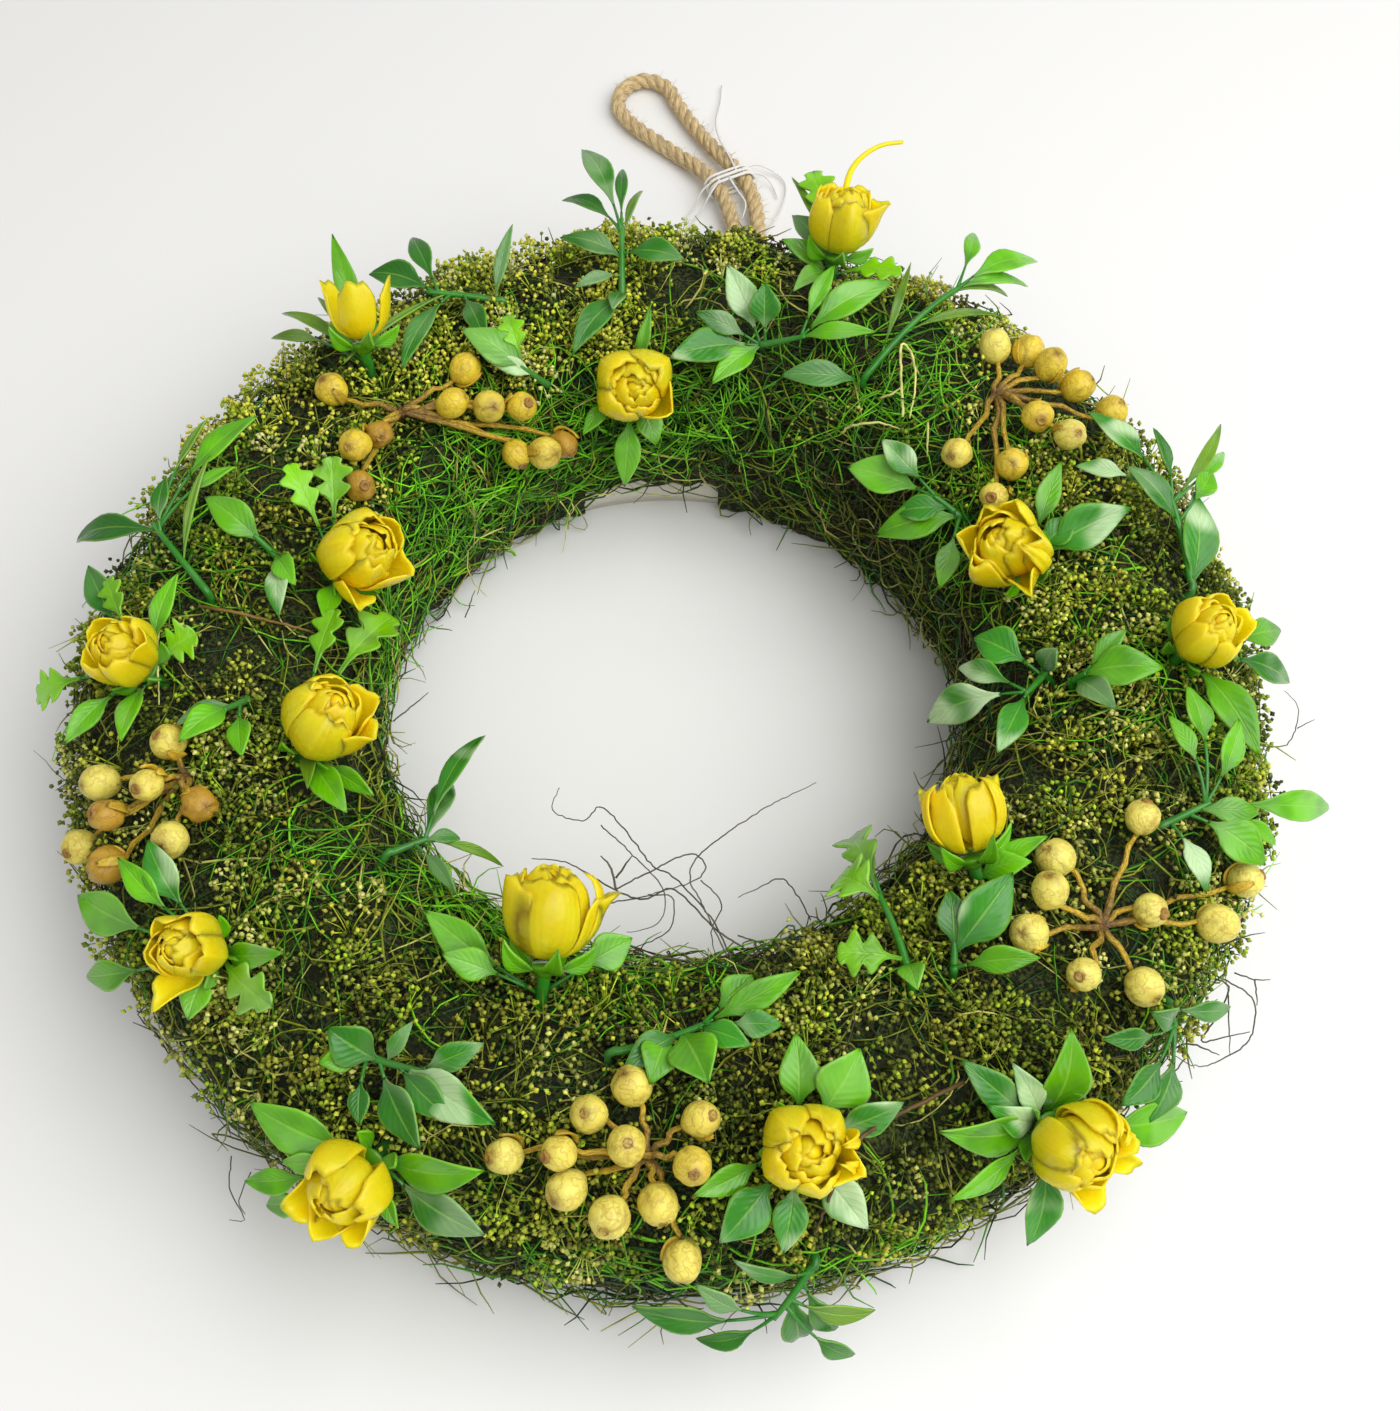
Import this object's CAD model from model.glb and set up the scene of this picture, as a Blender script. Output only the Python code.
# %% [markdown]
# # A dried grass wreath, piece by piece
#
# The real thing is a small decorative wreath that lies on its back. A foam ring is wrapped in dyed,
# curly dried grass. Dried seed heads are glued over it in mats, and moulded roses, leaf sprays and
# dried berries on crooked twigs are pushed into it. A jute loop to hang it by lies beyond its top.
#
# Each cell below makes one piece or one finish. The text before it says what the piece is on the
# real wreath, how it could be made in Blender, and why it is made this way.

# %% [markdown]
# ## Start from the measured model
#
# The measured model holds a plain solid for every piece, each in its true place. A scene could be
# dressed by eye, but then nothing would fit. Loading the solids first gives the places and sizes
# that every finer piece has to keep, and their box is noted at once, to be compared at the end.

# %% Load the model and note its box
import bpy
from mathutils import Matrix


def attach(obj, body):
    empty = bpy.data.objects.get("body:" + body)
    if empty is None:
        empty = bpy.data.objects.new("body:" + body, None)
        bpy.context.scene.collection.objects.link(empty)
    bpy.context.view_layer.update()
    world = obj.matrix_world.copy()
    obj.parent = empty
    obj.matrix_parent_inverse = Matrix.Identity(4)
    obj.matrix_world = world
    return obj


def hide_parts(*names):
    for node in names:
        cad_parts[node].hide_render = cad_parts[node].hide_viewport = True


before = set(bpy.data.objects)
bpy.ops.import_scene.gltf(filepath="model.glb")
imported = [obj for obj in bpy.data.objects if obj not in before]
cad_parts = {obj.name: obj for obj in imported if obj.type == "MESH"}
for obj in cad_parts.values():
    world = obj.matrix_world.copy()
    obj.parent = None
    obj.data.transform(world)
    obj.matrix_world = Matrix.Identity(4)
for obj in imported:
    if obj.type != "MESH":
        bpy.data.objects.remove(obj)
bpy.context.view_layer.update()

import math
import random

import bpy
import numpy as np
from mathutils import Matrix, Vector
from mathutils.bvhtree import BVHTree

MM = 0.001
print("nodes in the model:", len(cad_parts))

# %% [markdown]
# ## Places on the ring
#
# A florist says where a leaf goes by where it sits on the ring, not in x, y and z. So each place
# has a clock, the degrees round the wreath from its top, a roll, the degrees round the ring's own
# section with 90 at the crown and 180 at the side of the hole, and a lift in mm off the moss. One
# formula turns them into points. It works on whole arrays of numbers, because thousands of grass
# stems will need it at once.

# %% Turn places on the ring into points
RING_CENTRE = np.array((-0.8, 2.2, 0.0)) * MM
RING_RADIUS = 93.0
MOSS_HALF_WIDTH = 31.0
MOSS_HALF_HEIGHT = 24.0
MOSS_CENTRE_HEIGHT = 24.0
REAR_HEIGHT = 0.5
REAR_CORNER_ROLL = math.radians(60)
REAR_SQUEEZE = 0.05
LUMP = 0.9


def lump(clock, roll):
    """How far the moss swells or sinks at a place, in mm."""
    swell = 0.6 * np.sin(np.radians(3 * clock + 20))
    ripple = 0.4 * np.sin(np.radians(7 * clock + 2 * roll))
    return LUMP * (swell + ripple)


def ring_points(clock, roll, lift=0.0):
    """Points in metres for places on the ring, given as numbers or as arrays."""
    clock, roll, lift = np.broadcast_arrays(*(np.asarray(v, float) for v in (clock, roll, lift)))
    turn, tilt = np.radians(clock), np.radians(roll)
    rise = lift + lump(clock, roll)
    out = (MOSS_HALF_WIDTH + rise) * np.cos(tilt)
    height = MOSS_CENTRE_HEIGHT + (MOSS_HALF_HEIGHT + rise) * np.sin(tilt)
    drop = np.clip(-np.sin(tilt) / math.sin(REAR_CORNER_ROLL), 0, 1)
    wide = np.minimum(1, np.abs(np.cos(tilt)) / math.cos(REAR_CORNER_ROLL))
    rear_out = np.copysign((MOSS_HALF_WIDTH + rise) * wide * (1 - REAR_SQUEEZE * drop), out)
    rear_height = MOSS_CENTRE_HEIGHT - (MOSS_CENTRE_HEIGHT - REAR_HEIGHT) * drop
    out = np.where(np.sin(tilt) < 0, rear_out, out)
    height = np.where(np.sin(tilt) < 0, rear_height, height)
    reach = RING_RADIUS + out
    flat = np.stack([reach * np.sin(turn), reach * np.cos(turn), height], axis=-1)
    return flat * MM + RING_CENTRE


def unit(vectors):
    """The vectors with their length made 1."""
    return vectors / np.maximum(np.linalg.norm(vectors, axis=-1, keepdims=True), 1e-12)


def outward(clock, roll):
    """The direction straight off the moss."""
    return unit(ring_points(clock, roll, 10.0) - ring_points(clock, roll))


print("crown at the top in mm:", np.round(ring_points(0, 90) / MM, 1))

# %% [markdown]
# ## The camera
#
# The photograph looks down on the wreath from below its lower edge, at about sixty degrees. The
# camera could be placed by eye, but it is quicker and truer to put it on a line through the ring's
# centre at that angle. The small shift slides the picture on the sensor, as a cropped photo does.

# %% Place the camera
VIEW_ANGLE = math.radians(60.1)
VIEW_DISTANCE = 374 * MM
VIEW_CENTRE = Vector((RING_CENTRE[0], RING_CENTRE[1], 25 * MM))
LENS_LENGTH = 44.5
SENSOR_WIDTH = 36
SHIFT_ACROSS = 0.0213
SHIFT_UP = -0.0117

towards_camera = Vector((0.0, -math.cos(VIEW_ANGLE), math.sin(VIEW_ANGLE)))
lens = bpy.data.cameras.new("camera")
lens.lens = LENS_LENGTH
lens.sensor_width = SENSOR_WIDTH
lens.shift_x = SHIFT_ACROSS
lens.shift_y = SHIFT_UP
lens.clip_start = 0.01
camera = bpy.data.objects.new("camera", lens)
camera.location = VIEW_CENTRE + towards_camera * VIEW_DISTANCE
camera.rotation_mode = "QUATERNION"
camera.rotation_quaternion = towards_camera.to_track_quat("Z", "Y")
bpy.context.scene.collection.objects.link(camera)
bpy.context.scene.camera = camera
print("camera height in mm:", round(camera.location.z / MM))

# %% [markdown]
# ## From points to pieces
#
# Every piece here grows from formulas, so the same few steps come back: make a mesh from points and
# faces, shade it smooth, give it its finish, and say which solid of the model it stands for. Values
# that change over a surface, such as where on a leaf a point lies, are kept on the points as named
# attributes, and the finishes read them.

# %% A maker for pieces
def make_piece(name, points, faces, finish):
    """A smooth mesh object with one finish."""
    mesh = bpy.data.meshes.new(name)
    mesh.from_pydata(points, [], faces)
    mesh.polygons.foreach_set("use_smooth", np.ones(len(mesh.polygons), bool))
    mesh.materials.append(finish)
    mesh.update()
    item = bpy.data.objects.new(name, mesh)
    bpy.context.scene.collection.objects.link(item)
    return item


def keep_on_points(item, name, values):
    """Store one row of three values for each point, under a name that a finish reads."""
    attribute = item.data.attributes.new(name, "FLOAT_VECTOR", "POINT")
    attribute.data.foreach_set("vector", np.asarray(values, np.float32).ravel())


def belongs(item, slot, *nodes):
    """Fix a piece to the wreath, name its kind of finish and the solids that it stands for."""
    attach(item, "root")
    if nodes:
        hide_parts(*nodes)


def merge(parts):
    """Join (points, faces, values) parts into one of each."""
    points, faces, values, offset = [], [], [], 0
    for part_points, part_faces, part_values in parts:
        points.append(part_points)
        values.append(part_values)
        faces += [[offset + index for index in face] for face in part_faces]
        offset += len(part_points)
    return np.concatenate(points), faces, np.concatenate(values)


def stored_piece(name, made, finish, attribute, slot, *nodes):
    """A piece from (points, faces, values), with its values kept on its points under a name."""
    points, faces, values = made
    item = make_piece(name, points, faces, finish)
    keep_on_points(item, attribute, values)
    belongs(item, slot, *nodes)
    return item


print("helpers for pieces are ready")

# %% [markdown]
# ## Lines that become stems
#
# Stems, twigs, twine and thread are all round things along a line. Blender's curve objects with a
# bevel would do, but here the surface has to remember how far along and round the stem each point
# lies, so the tube is built ring by ring. Each ring takes its direction from the one before, which
# keeps the tube from twisting by itself.

# %% Smooth lines and tubes
def smooth_line(points, steps):
    """A smooth curve through a few points."""
    points = np.asarray(points, float)
    start, end = points[:-1], points[1:]
    before = np.vstack([points[:1], points[:-2]])
    after = np.vstack([points[2:], points[-1:]])
    rows = []
    for step in range(steps):
        t = step / steps
        bend = (2 * before - 5 * start + 4 * end - after) * t ** 2
        twist = (3 * start - before - 3 * end + after) * t ** 3
        rows.append((2 * start + (end - before) * t + bend + twist) / 2)
    return np.vstack([np.stack(rows, axis=1).reshape(-1, points.shape[1]), points[-1:]])


def reach_along(path):
    """How far along a path each of its points lies."""
    return np.concatenate([[0.0], np.cumsum(np.linalg.norm(np.diff(path, axis=0), axis=1))])


def evenly(path, spacing):
    """Points at even distances along a path."""
    reach = reach_along(path)
    places = np.linspace(0, reach[-1], max(2, round(reach[-1] / spacing)) + 1)
    return np.column_stack([np.interp(places, reach, column) for column in path.T])


def sides_of(path):
    """Two directions across a path at each point, carried along it without twist."""
    along = unit(np.gradient(path, axis=0))
    start = np.eye(3)[np.argmin(np.abs(along[0]))]
    across = [unit(start - along[0] * (start @ along[0]))]
    for direction in along[1:]:
        last = across[-1]
        across.append(unit(last - direction * (last @ direction)))
    across = np.array(across)
    return across, np.cross(along, across)


def flipped(corners):
    """The corners of a face in the other order, from the same first one."""
    return corners[:1] + corners[:0:-1]


def ring_faces(rings, sides, downwards=False):
    """Quads between rings of points, and a face to close each end. The rings may run downwards."""
    index = np.arange(rings * sides).reshape(rings, sides)
    low, high = index[:-1], index[1:]
    corners = [low, np.roll(low, -1, 1), np.roll(high, -1, 1), high]
    ends = [index[0][::-1], index[-1]]
    if downwards:
        corners = flipped(corners)
        ends = [end[::-1] for end in ends]
    return np.stack(corners, axis=-1).reshape(-1, 4).tolist() + [end.tolist() for end in ends]


def tube(path, radius, sides, tone=0.0):
    """A closed round tube: its points, faces, and (mm along, share round, tone) for each point."""
    path = np.asarray(path, float)
    radius = np.broadcast_to(radius, len(path))
    across, other = sides_of(path)
    share = np.arange(sides) / sides
    ring = (across[:, None] * np.cos(math.tau * share)[:, None]
            + other[:, None] * np.sin(math.tau * share)[:, None])
    points = (path[:, None] + ring * radius[:, None, None]).reshape(-1, 3)
    values = np.empty((len(path), sides, 3))
    values[..., 0] = reach_along(path)[:, None] / MM
    values[..., 1] = share
    values[..., 2] = tone
    return points, ring_faces(len(path), sides), values.reshape(-1, 3)


print("a test tube has", len(tube([(0, 0, 0), (0, 0, 1), (0, 1, 2)], 0.1, 6)[1]), "faces")

# %% [markdown]
# ## Finishes from nodes
#
# A finish is a small tree of nodes. Adding each node by hand takes many lines, so one helper adds a
# node and fills its inputs: a plain value is typed in, and another node's output is wired in. The
# others cover what most finishes use: a mix or a tint of two colours, a mottle of noise, the values
# kept on the points, and relief.

# %% Helpers for finishes
def add(tree, kind, inputs=None, **settings):
    """Add a node, set it up and fill its inputs with values or wires."""
    made = tree.nodes.new(kind)
    for setting, value in settings.items():
        setattr(made, setting, value)
    for socket, value in (inputs or {}).items():
        if isinstance(value, bpy.types.NodeSocket):
            tree.links.new(value, made.inputs[socket])
        else:
            made.inputs[socket].default_value = value
    return made


def start_finish(name, roughness, **shader_values):
    """A new material, its tree and its shader."""
    finish = bpy.data.materials.new(name)
    finish.use_nodes = True
    shader = finish.node_tree.nodes["Principled BSDF"]
    shader.inputs["Roughness"].default_value = roughness
    for socket, value in shader_values.items():
        shader.inputs[socket.replace("_", " ")].default_value = value
    return finish, finish.node_tree, shader


def mixed(tree, share, first, second):
    """A mix of two colours."""
    return add(tree, "ShaderNodeMix", {0: share, 6: first, 7: second}, data_type="RGBA").outputs[2]


def sums(tree, operation, first, second=0.0, third=0.0):
    """One sum with numbers."""
    made = add(tree, "ShaderNodeMath", {0: first, 1: second, 2: third}, operation=operation)
    return made.outputs[0]


def times(tree, first, second):
    """The product of two numbers."""
    return sums(tree, "MULTIPLY", first, second)


def tinted(tree, mask, strength, first, second):
    """The first colour, with a share of the second where a mask is bright."""
    return mixed(tree, times(tree, mask, strength), first, second)


def rising(tree, value, low, high):
    """0 up to low, 1 from high, and a soft step between."""
    made = add(tree, "ShaderNodeMapRange", {0: value, 1: low, 2: high},
               interpolation_type="SMOOTHSTEP")
    return made.outputs[0]


def mottle(tree, scale, detail=2.0, place=None):
    """Soft noise from 0 to 1 in the object's own space, scale in waves to the metre."""
    if place is None:
        place = add(tree, "ShaderNodeTexCoord").outputs["Object"]
    inputs = {"Vector": place, "Scale": scale, "Detail": detail}
    return add(tree, "ShaderNodeTexNoise", inputs).outputs["Fac"]


def stored(tree, name):
    """The vector kept on the points under a name."""
    return add(tree, "ShaderNodeAttribute", attribute_name=name).outputs["Vector"]


def stored_parts(tree, name):
    """The three numbers kept on the points under a name."""
    return add(tree, "ShaderNodeSeparateXYZ", {0: stored(tree, name)}).outputs


def squeezed(tree, name, scales):
    """A stored vector, with each of its numbers stretched by its own scale."""
    return add(tree, "ShaderNodeVectorMath", {0: stored(tree, name), 1: scales},
               operation="MULTIPLY").outputs[0]


def raised(tree, shader, height, distance, strength=1.0):
    """Bend the surface's light by a height, as fine relief."""
    relief = add(tree, "ShaderNodeBump",
                 {"Height": height, "Distance": distance, "Strength": strength})
    tree.links.new(relief.outputs["Normal"], shader.inputs["Normal"])


def colour(red, green, blue):
    """A colour for a socket, from parts of light between 0 and 1."""
    return (red, green, blue, 1.0)


print("helpers for finishes are ready")

# %% [markdown]
# ## Jute
#
# Jute twine is three loose strands of coarse brown fibre, laid round each other. Its colour changes
# from fibre to fibre, so the noise is stretched along the strand: the finish reads how far along
# and round the strand a point lies, and squeezes the noise across it.

# %% The jute finish
jute, tree, shader = start_finish("jute", 0.9, Sheen_Weight=0.25)
jute_fibre = mottle(tree, 1.6, 3.0, squeezed(tree, "lie", (0.35, 9.0, 7.0)))
jute_patch = mottle(tree, 160, 2.0)
jute_brown = mixed(tree, rising(tree, jute_fibre, 0.3, 0.7),
                   colour(0.31, 0.185, 0.068), colour(0.70, 0.52, 0.25))
jute_tone = tinted(tree, jute_patch, 0.5, jute_brown, colour(0.76, 0.63, 0.36))
tree.links.new(jute_tone, shader.inputs["Base Color"])
raised(tree, shader, jute_fibre, 0.35 * MM)
print("finish:", jute.name)

# %% [markdown]
# ## The hanging loop
#
# A piece of twine as long as a hand leaves the grass at the top, runs out flat on the table, turns
# back on itself and goes in again beside its own start. It could be a curve with a round bevel, but
# the three strands are what makes it twine, so each strand is its own tube, wound round the same
# line. It is a free cord, so its true length, its width and both its ends are declared.

# %% Lay the hanging loop
STRAND_RADIUS = 1.13
STRAND_OFFSET = 1.06
STRAND_PITCH = 10.5
STRANDS = 3
STRAND_SIDES = 9
TWINE_STEP = 0.8
LOOP_ROUTE = (
    (16.6, 118.0, 6.5), (17.7, 130.0, 3.5), (18.2, 142.0, 2.3), (17.8, 152.0, 2.5),
    (16.2, 161.5, 3.6), (13.2, 170.5, 4.0), (8.6, 177.5, 3.5), (2.5, 184.0, 2.4),
    (-5.0, 191.0, 2.3), (-11.0, 197.0, 2.3), (-14.6, 204.0, 2.3), (-13.0, 211.0, 2.3),
    (-7.0, 214.5, 2.3), (-1.0, 211.5, 2.3), (2.0, 205.0, 2.3), (6.0, 197.0, 2.3),
    (12.0, 186.5, 3.0), (18.2, 177.0, 4.0), (21.9, 169.5, 4.0), (23.6, 161.0, 3.2),
    (24.0, 152.0, 2.4), (23.6, 142.0, 2.4), (22.9, 130.0, 3.9), (22.2, 117.6, 6.6),
)

loop_line = smooth_line(np.array(LOOP_ROUTE) * MM + RING_CENTRE, 12)
loop_path = evenly(loop_line, TWINE_STEP * MM)
loop_across, loop_up = sides_of(loop_path)
loop_wind = math.tau * reach_along(loop_path) / (STRAND_PITCH * MM)
loop_strands = []
for strand in range(STRANDS):
    lay = (loop_wind + math.tau * strand / STRANDS)[:, None]
    off = (loop_across * np.cos(lay) + loop_up * np.sin(lay)) * STRAND_OFFSET * MM
    loop_strands.append(tube(loop_path + off, STRAND_RADIUS * MM, STRAND_SIDES, strand))
hanging_twine = stored_piece("hanging_twine", merge(loop_strands), jute, "lie", "jute", "hanging_loop")

# %% [markdown]
# ## Many stems at once
#
# The grass has thousands of stems. A curve object for each would take minutes, so one function
# makes all their tubes together with arrays: three sides are enough at this size. It closes each
# end with one triangle, so every stem is a true closed solid.

# %% Tubes for thousands of stems
def many_tubes(paths, radii):
    """Three-sided tubes along paths, given as (stems, points, 3). Returns points and faces."""
    stems, steps, _ = paths.shape
    along = unit(np.gradient(paths, axis=1))
    chord = unit(paths[:, -1] - paths[:, 0])
    helper = np.eye(3)[np.argmin(np.abs(chord), axis=1)][:, None]
    across = unit(np.cross(along, helper))
    other = np.cross(along, across)
    turns = math.tau * np.arange(3) / 3
    ring = (across[:, :, None] * np.cos(turns)[:, None]
            + other[:, :, None] * np.sin(turns)[:, None])
    points = paths[:, :, None] + ring * radii[:, :, None, None]
    index = np.arange(stems * steps * 3).reshape(stems, steps, 3)
    low, high = index[:, :-1], index[:, 1:]
    quads = np.stack([low, np.roll(low, -1, 2), np.roll(high, -1, 2), high], axis=-1)
    caps = np.concatenate([index[:, 0, ::-1], index[:, -1]])
    return points.reshape(-1, 3), quads.reshape(-1, 4).tolist() + caps.tolist()


def on_each_ring(values, steps):
    """Repeat one row of values for a stem over all the points of its tube."""
    return np.repeat(values, steps * 3, axis=0)


print("helpers for stems are ready")

# %% [markdown]
# ## Loose fibres on the twine
#
# Jute sheds short fibres that stand off the twine and catch the light. They could be hair, but hair
# is lost when the model is exported, so each is a real thin stem, rooted inside a strand and bent.

# %% Fuzz on the twine
FUZZ_COUNT = 420
FUZZ_LENGTHS = (1.0, 3.4)
FUZZ_RADII = (0.07, 0.06, 0.03)
FUZZ_LOWEST = 0.3

chance = np.random.default_rng(21)
root = chance.integers(4, len(loop_path) - 4, FUZZ_COUNT)
side = chance.uniform(0, math.tau, FUZZ_COUNT)[:, None]
off = loop_across[root] * np.cos(side) + np.abs(loop_up[root] * np.sin(side)) * 0.9
along = unit(np.gradient(loop_path, axis=0))[root] * chance.choice((-1, 1), FUZZ_COUNT)[:, None]
fuzz_length = chance.uniform(*FUZZ_LENGTHS, FUZZ_COUNT)[:, None] * MM
start = loop_path[root] + off * 1.5 * MM
middle = start + (off * 0.35 + along) * fuzz_length * 0.5
end = start + (off * 0.8 + along * 0.75) * fuzz_length
paths = np.stack([start, middle, end], axis=1)
paths[..., 2] = np.maximum(paths[..., 2], FUZZ_LOWEST * MM)
points, faces = many_tubes(paths, np.tile(np.array(FUZZ_RADII) * MM, (FUZZ_COUNT, 1)))
fuzz_lie = on_each_ring(chance.uniform(0, 9, (FUZZ_COUNT, 3)), 3)
twine_fuzz = stored_piece("twine_fuzz", (points, faces, fuzz_lie), jute, "lie", "jute")
print("loose fibres:", FUZZ_COUNT)

# %% [markdown]
# ## The cotton thread
#
# White thread binds the two legs of the loop just above the grass: some turns wound close together,
# and long loose ends that lie on the table. It is a thin tube again. The turns are one long line
# wound on an oval that is as wide as both legs together.

# %% Wind the cotton thread
cotton, tree, shader = start_finish("cotton", 0.8, Sheen_Weight=0.3)
cotton_grain = mottle(tree, 2.4, 2.0, squeezed(tree, "lie", (1.1, 2.0, 1.0)))
tree.links.new(mixed(tree, cotton_grain, colour(0.62, 0.60, 0.55), colour(0.93, 0.92, 0.89)),
               shader.inputs["Base Color"])
raised(tree, shader, cotton_grain, 0.15 * MM)

THREAD_RADIUS = 0.38
THREAD_TURNS = 4.5
TURN_POINTS = 28
THREAD_LOWEST = 0.9
TURN_PITCH = 0.75
LOOSE_END_RADII = (0.34, 0.2)
TIE_CENTRE = np.array((16.5, 172.2, 4.0))
TIE_TURN = math.radians(27)
TIE_HALF_STRAIGHT = 3.75
TIE_END_RADIUS = 2.95
LOOSE_ENDS = (
    ((13.5, 170.0, 7.1), (11.0, 166.0, 6.0), (8.6, 163.4, 2.6), (6.4, 161.0, 0.9),
     (5.0, 158.0, 0.7)),
    ((12.9, 170.6, 7.2), (9.0, 168.4, 5.0), (6.6, 165.4, 1.8), (5.2, 163.4, 0.8),
     (4.6, 161.6, 0.7)),
    ((19.5, 174.0, 7.2), (24.0, 178.5, 4.6), (29.0, 179.0, 1.2), (32.0, 174.5, 0.7),
     (30.6, 166.0, 0.7), (25.6, 155.6, 0.7)),
    ((20.0, 173.0, 7.1), (25.4, 175.4, 3.8), (28.4, 174.0, 0.9), (29.6, 169.6, 0.7)),
    ((18.0, 173.6, 7.2), (16.4, 180.0, 6.0), (13.6, 188.0, 5.6), (13.0, 198.0, 2.0),
     (14.4, 207.0, 0.8), (14.9, 214.2, 0.7)),
    ((16.0, 171.0, 7.3), (18.4, 166.6, 6.4), (20.4, 161.6, 6.6), (19.4, 157.4, 5.0)),
)

tie_across = np.array((math.cos(TIE_TURN), math.sin(TIE_TURN), 0.0))
tie_along = np.array((-math.sin(TIE_TURN), math.cos(TIE_TURN), 0.0))
turn = np.linspace(0, math.tau * THREAD_TURNS, int(TURN_POINTS * THREAD_TURNS))
out = TIE_END_RADIUS * np.cos(turn) + TIE_HALF_STRAIGHT * np.tanh(6 * np.cos(turn))
drift = TURN_PITCH * (turn / math.tau - THREAD_TURNS / 2) + 0.4 * np.sin(turn * 0.5)
wound = (TIE_CENTRE + tie_across * out[:, None] + tie_along * drift[:, None]
         + np.array((0, 0, 1)) * (TIE_END_RADIUS * np.sin(turn))[:, None])
wound[:, 2] = np.maximum(wound[:, 2], THREAD_LOWEST)
thread_parts = [tube(wound * MM + RING_CENTRE, THREAD_RADIUS * MM, 6)]
for number, end in enumerate(LOOSE_ENDS, start=1):
    line = evenly(smooth_line(np.array(end) * MM + RING_CENTRE, 8), 1.0 * MM)
    thread_parts.append(tube(line, np.linspace(*LOOSE_END_RADII, len(line)) * MM, 5, number))
cotton_tie = stored_piece("cotton_tie", merge(thread_parts), cotton, "lie", "thread", "tie_thread")
print("thread turns:", THREAD_TURNS, "loose ends:", len(LOOSE_ENDS))

print("cord declared")

# %% [markdown]
# ## Moulded leaf plastic
#
# The leaves are thin moulded plastic. Each has a dye of its own, from bright yellowish green to a
# deep bluish green, a paler midrib and rim, fine slanting veins, and on some a milky bloom where the
# gloss catches the light. Painting a picture for each leaf would do, but here one finish serves
# all: the leaf's points carry where they lie on the blade and the leaf's dye, and the nodes draw
# the rest from those.

# %% The leaf finish
leaf_plastic, tree, shader = start_finish(
    "leaf_plastic", 0.3, Specular_IOR_Level=0.4, Subsurface_Weight=0.12,
    Subsurface_Radius=(0.5, 1.0, 0.2), Subsurface_Scale=0.6 * MM)
leaf_across, leaf_along, leaf_milk = stored_parts(tree, "blade")
leaf_dye = stored(tree, "dye")
leaf_side = sums(tree, "ABSOLUTE", leaf_across)
leaf_slant = sums(tree, "MULTIPLY_ADD", leaf_side, -2.6, times(tree, leaf_along, 8.0))
leaf_vein = sums(tree, "PINGPONG", leaf_slant, 0.5)
vein_line = rising(tree, leaf_vein, 0.40, 0.5)
leaf_shade = mixed(tree, rising(tree, mottle(tree, 130, 2.0), 0.4, 0.7), leaf_dye,
                   colour(0.012, 0.085, 0.014))
leaf_foot = tinted(tree, rising(tree, leaf_along, 0.45, 0.05), 0.45,
                   mixed(tree, 0.4, leaf_dye, leaf_shade), colour(0.012, 0.110, 0.014))
leaf_veined = tinted(tree, vein_line, 0.06, leaf_foot, colour(0.30, 0.55, 0.08))
leaf_ribbed = tinted(tree, rising(tree, leaf_side, 0.10, 0.01), 0.3,
                     leaf_veined, colour(0.34, 0.62, 0.08))
leaf_rimmed = tinted(tree, rising(tree, leaf_side, 0.84, 1.0), 0.4,
                     leaf_ribbed, colour(0.36, 0.66, 0.08))
milk_spread = times(tree, rising(tree, mottle(tree, 95, 1.0), 0.44, 0.62),
                    sums(tree, "MULTIPLY_ADD", vein_line, -0.3, 1.0))
leaf_colour = tinted(tree, milk_spread, leaf_milk, leaf_rimmed, colour(0.58, 0.76, 0.44))
tree.links.new(leaf_colour, shader.inputs["Base Color"])
tree.links.new(sums(tree, "MULTIPLY_ADD", mottle(tree, 1500, 2.0), 0.15, 0.16),
               shader.inputs["Roughness"])
leaf_relief = sums(tree, "MULTIPLY_ADD", rising(tree, leaf_side, 0.0, 0.14), 1.0,
                   times(tree, leaf_vein, 0.8))
raised(tree, shader, leaf_relief, 0.18 * MM, 0.55)
print("finish:", leaf_plastic.name)

# %% [markdown]
# ## One blade
#
# A moulded leaf is a thin sheet, folded a little along its midrib and arched from its foot to its
# tip. It could be cut from a plane with Blender's solidify modifier, but that leaves a blunt rim.
# Here a grid of points is bent to the leaf's shape, and two skins are laid round it that meet at
# the rim, so the blade thins out to its edge as a moulded one does, and is closed. A leaf is lance
# shaped or lobed. Its kind is a letter that gives its dye: bright, deep, with a white bloom, lobed
# or narrow.

# %% Thin closed sheets
def closed_sheet(grid, thickness, values):
    """Two skins round a grid of points that meet at its rim, as (points, faces, values)."""
    rows, columns, _ = grid.shape
    normal = unit(np.cross(np.gradient(grid, axis=0), np.gradient(grid, axis=1)))
    inside = np.zeros((rows, columns), bool)
    inside[1:-1, 1:-1] = True
    half = np.where(inside, thickness / 2, 0.0)[..., None]
    upper = np.arange(rows * columns).reshape(rows, columns)
    lower = upper.copy()
    lower[inside] = rows * columns + np.arange(inside.sum())
    points = np.concatenate([(grid + normal * half).reshape(-1, 3), (grid - normal * half)[inside]])
    faces = []
    for index, step in ((upper, 1), (lower, -1)):
        corners = [index[:-1, :-1], index[1:, :-1], index[1:, 1:], index[:-1, 1:]][::step]
        faces += np.stack(corners, axis=-1).reshape(-1, 4).tolist()
    return points, faces, np.concatenate([values.reshape(rows * columns, -1), values[inside]])


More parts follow.
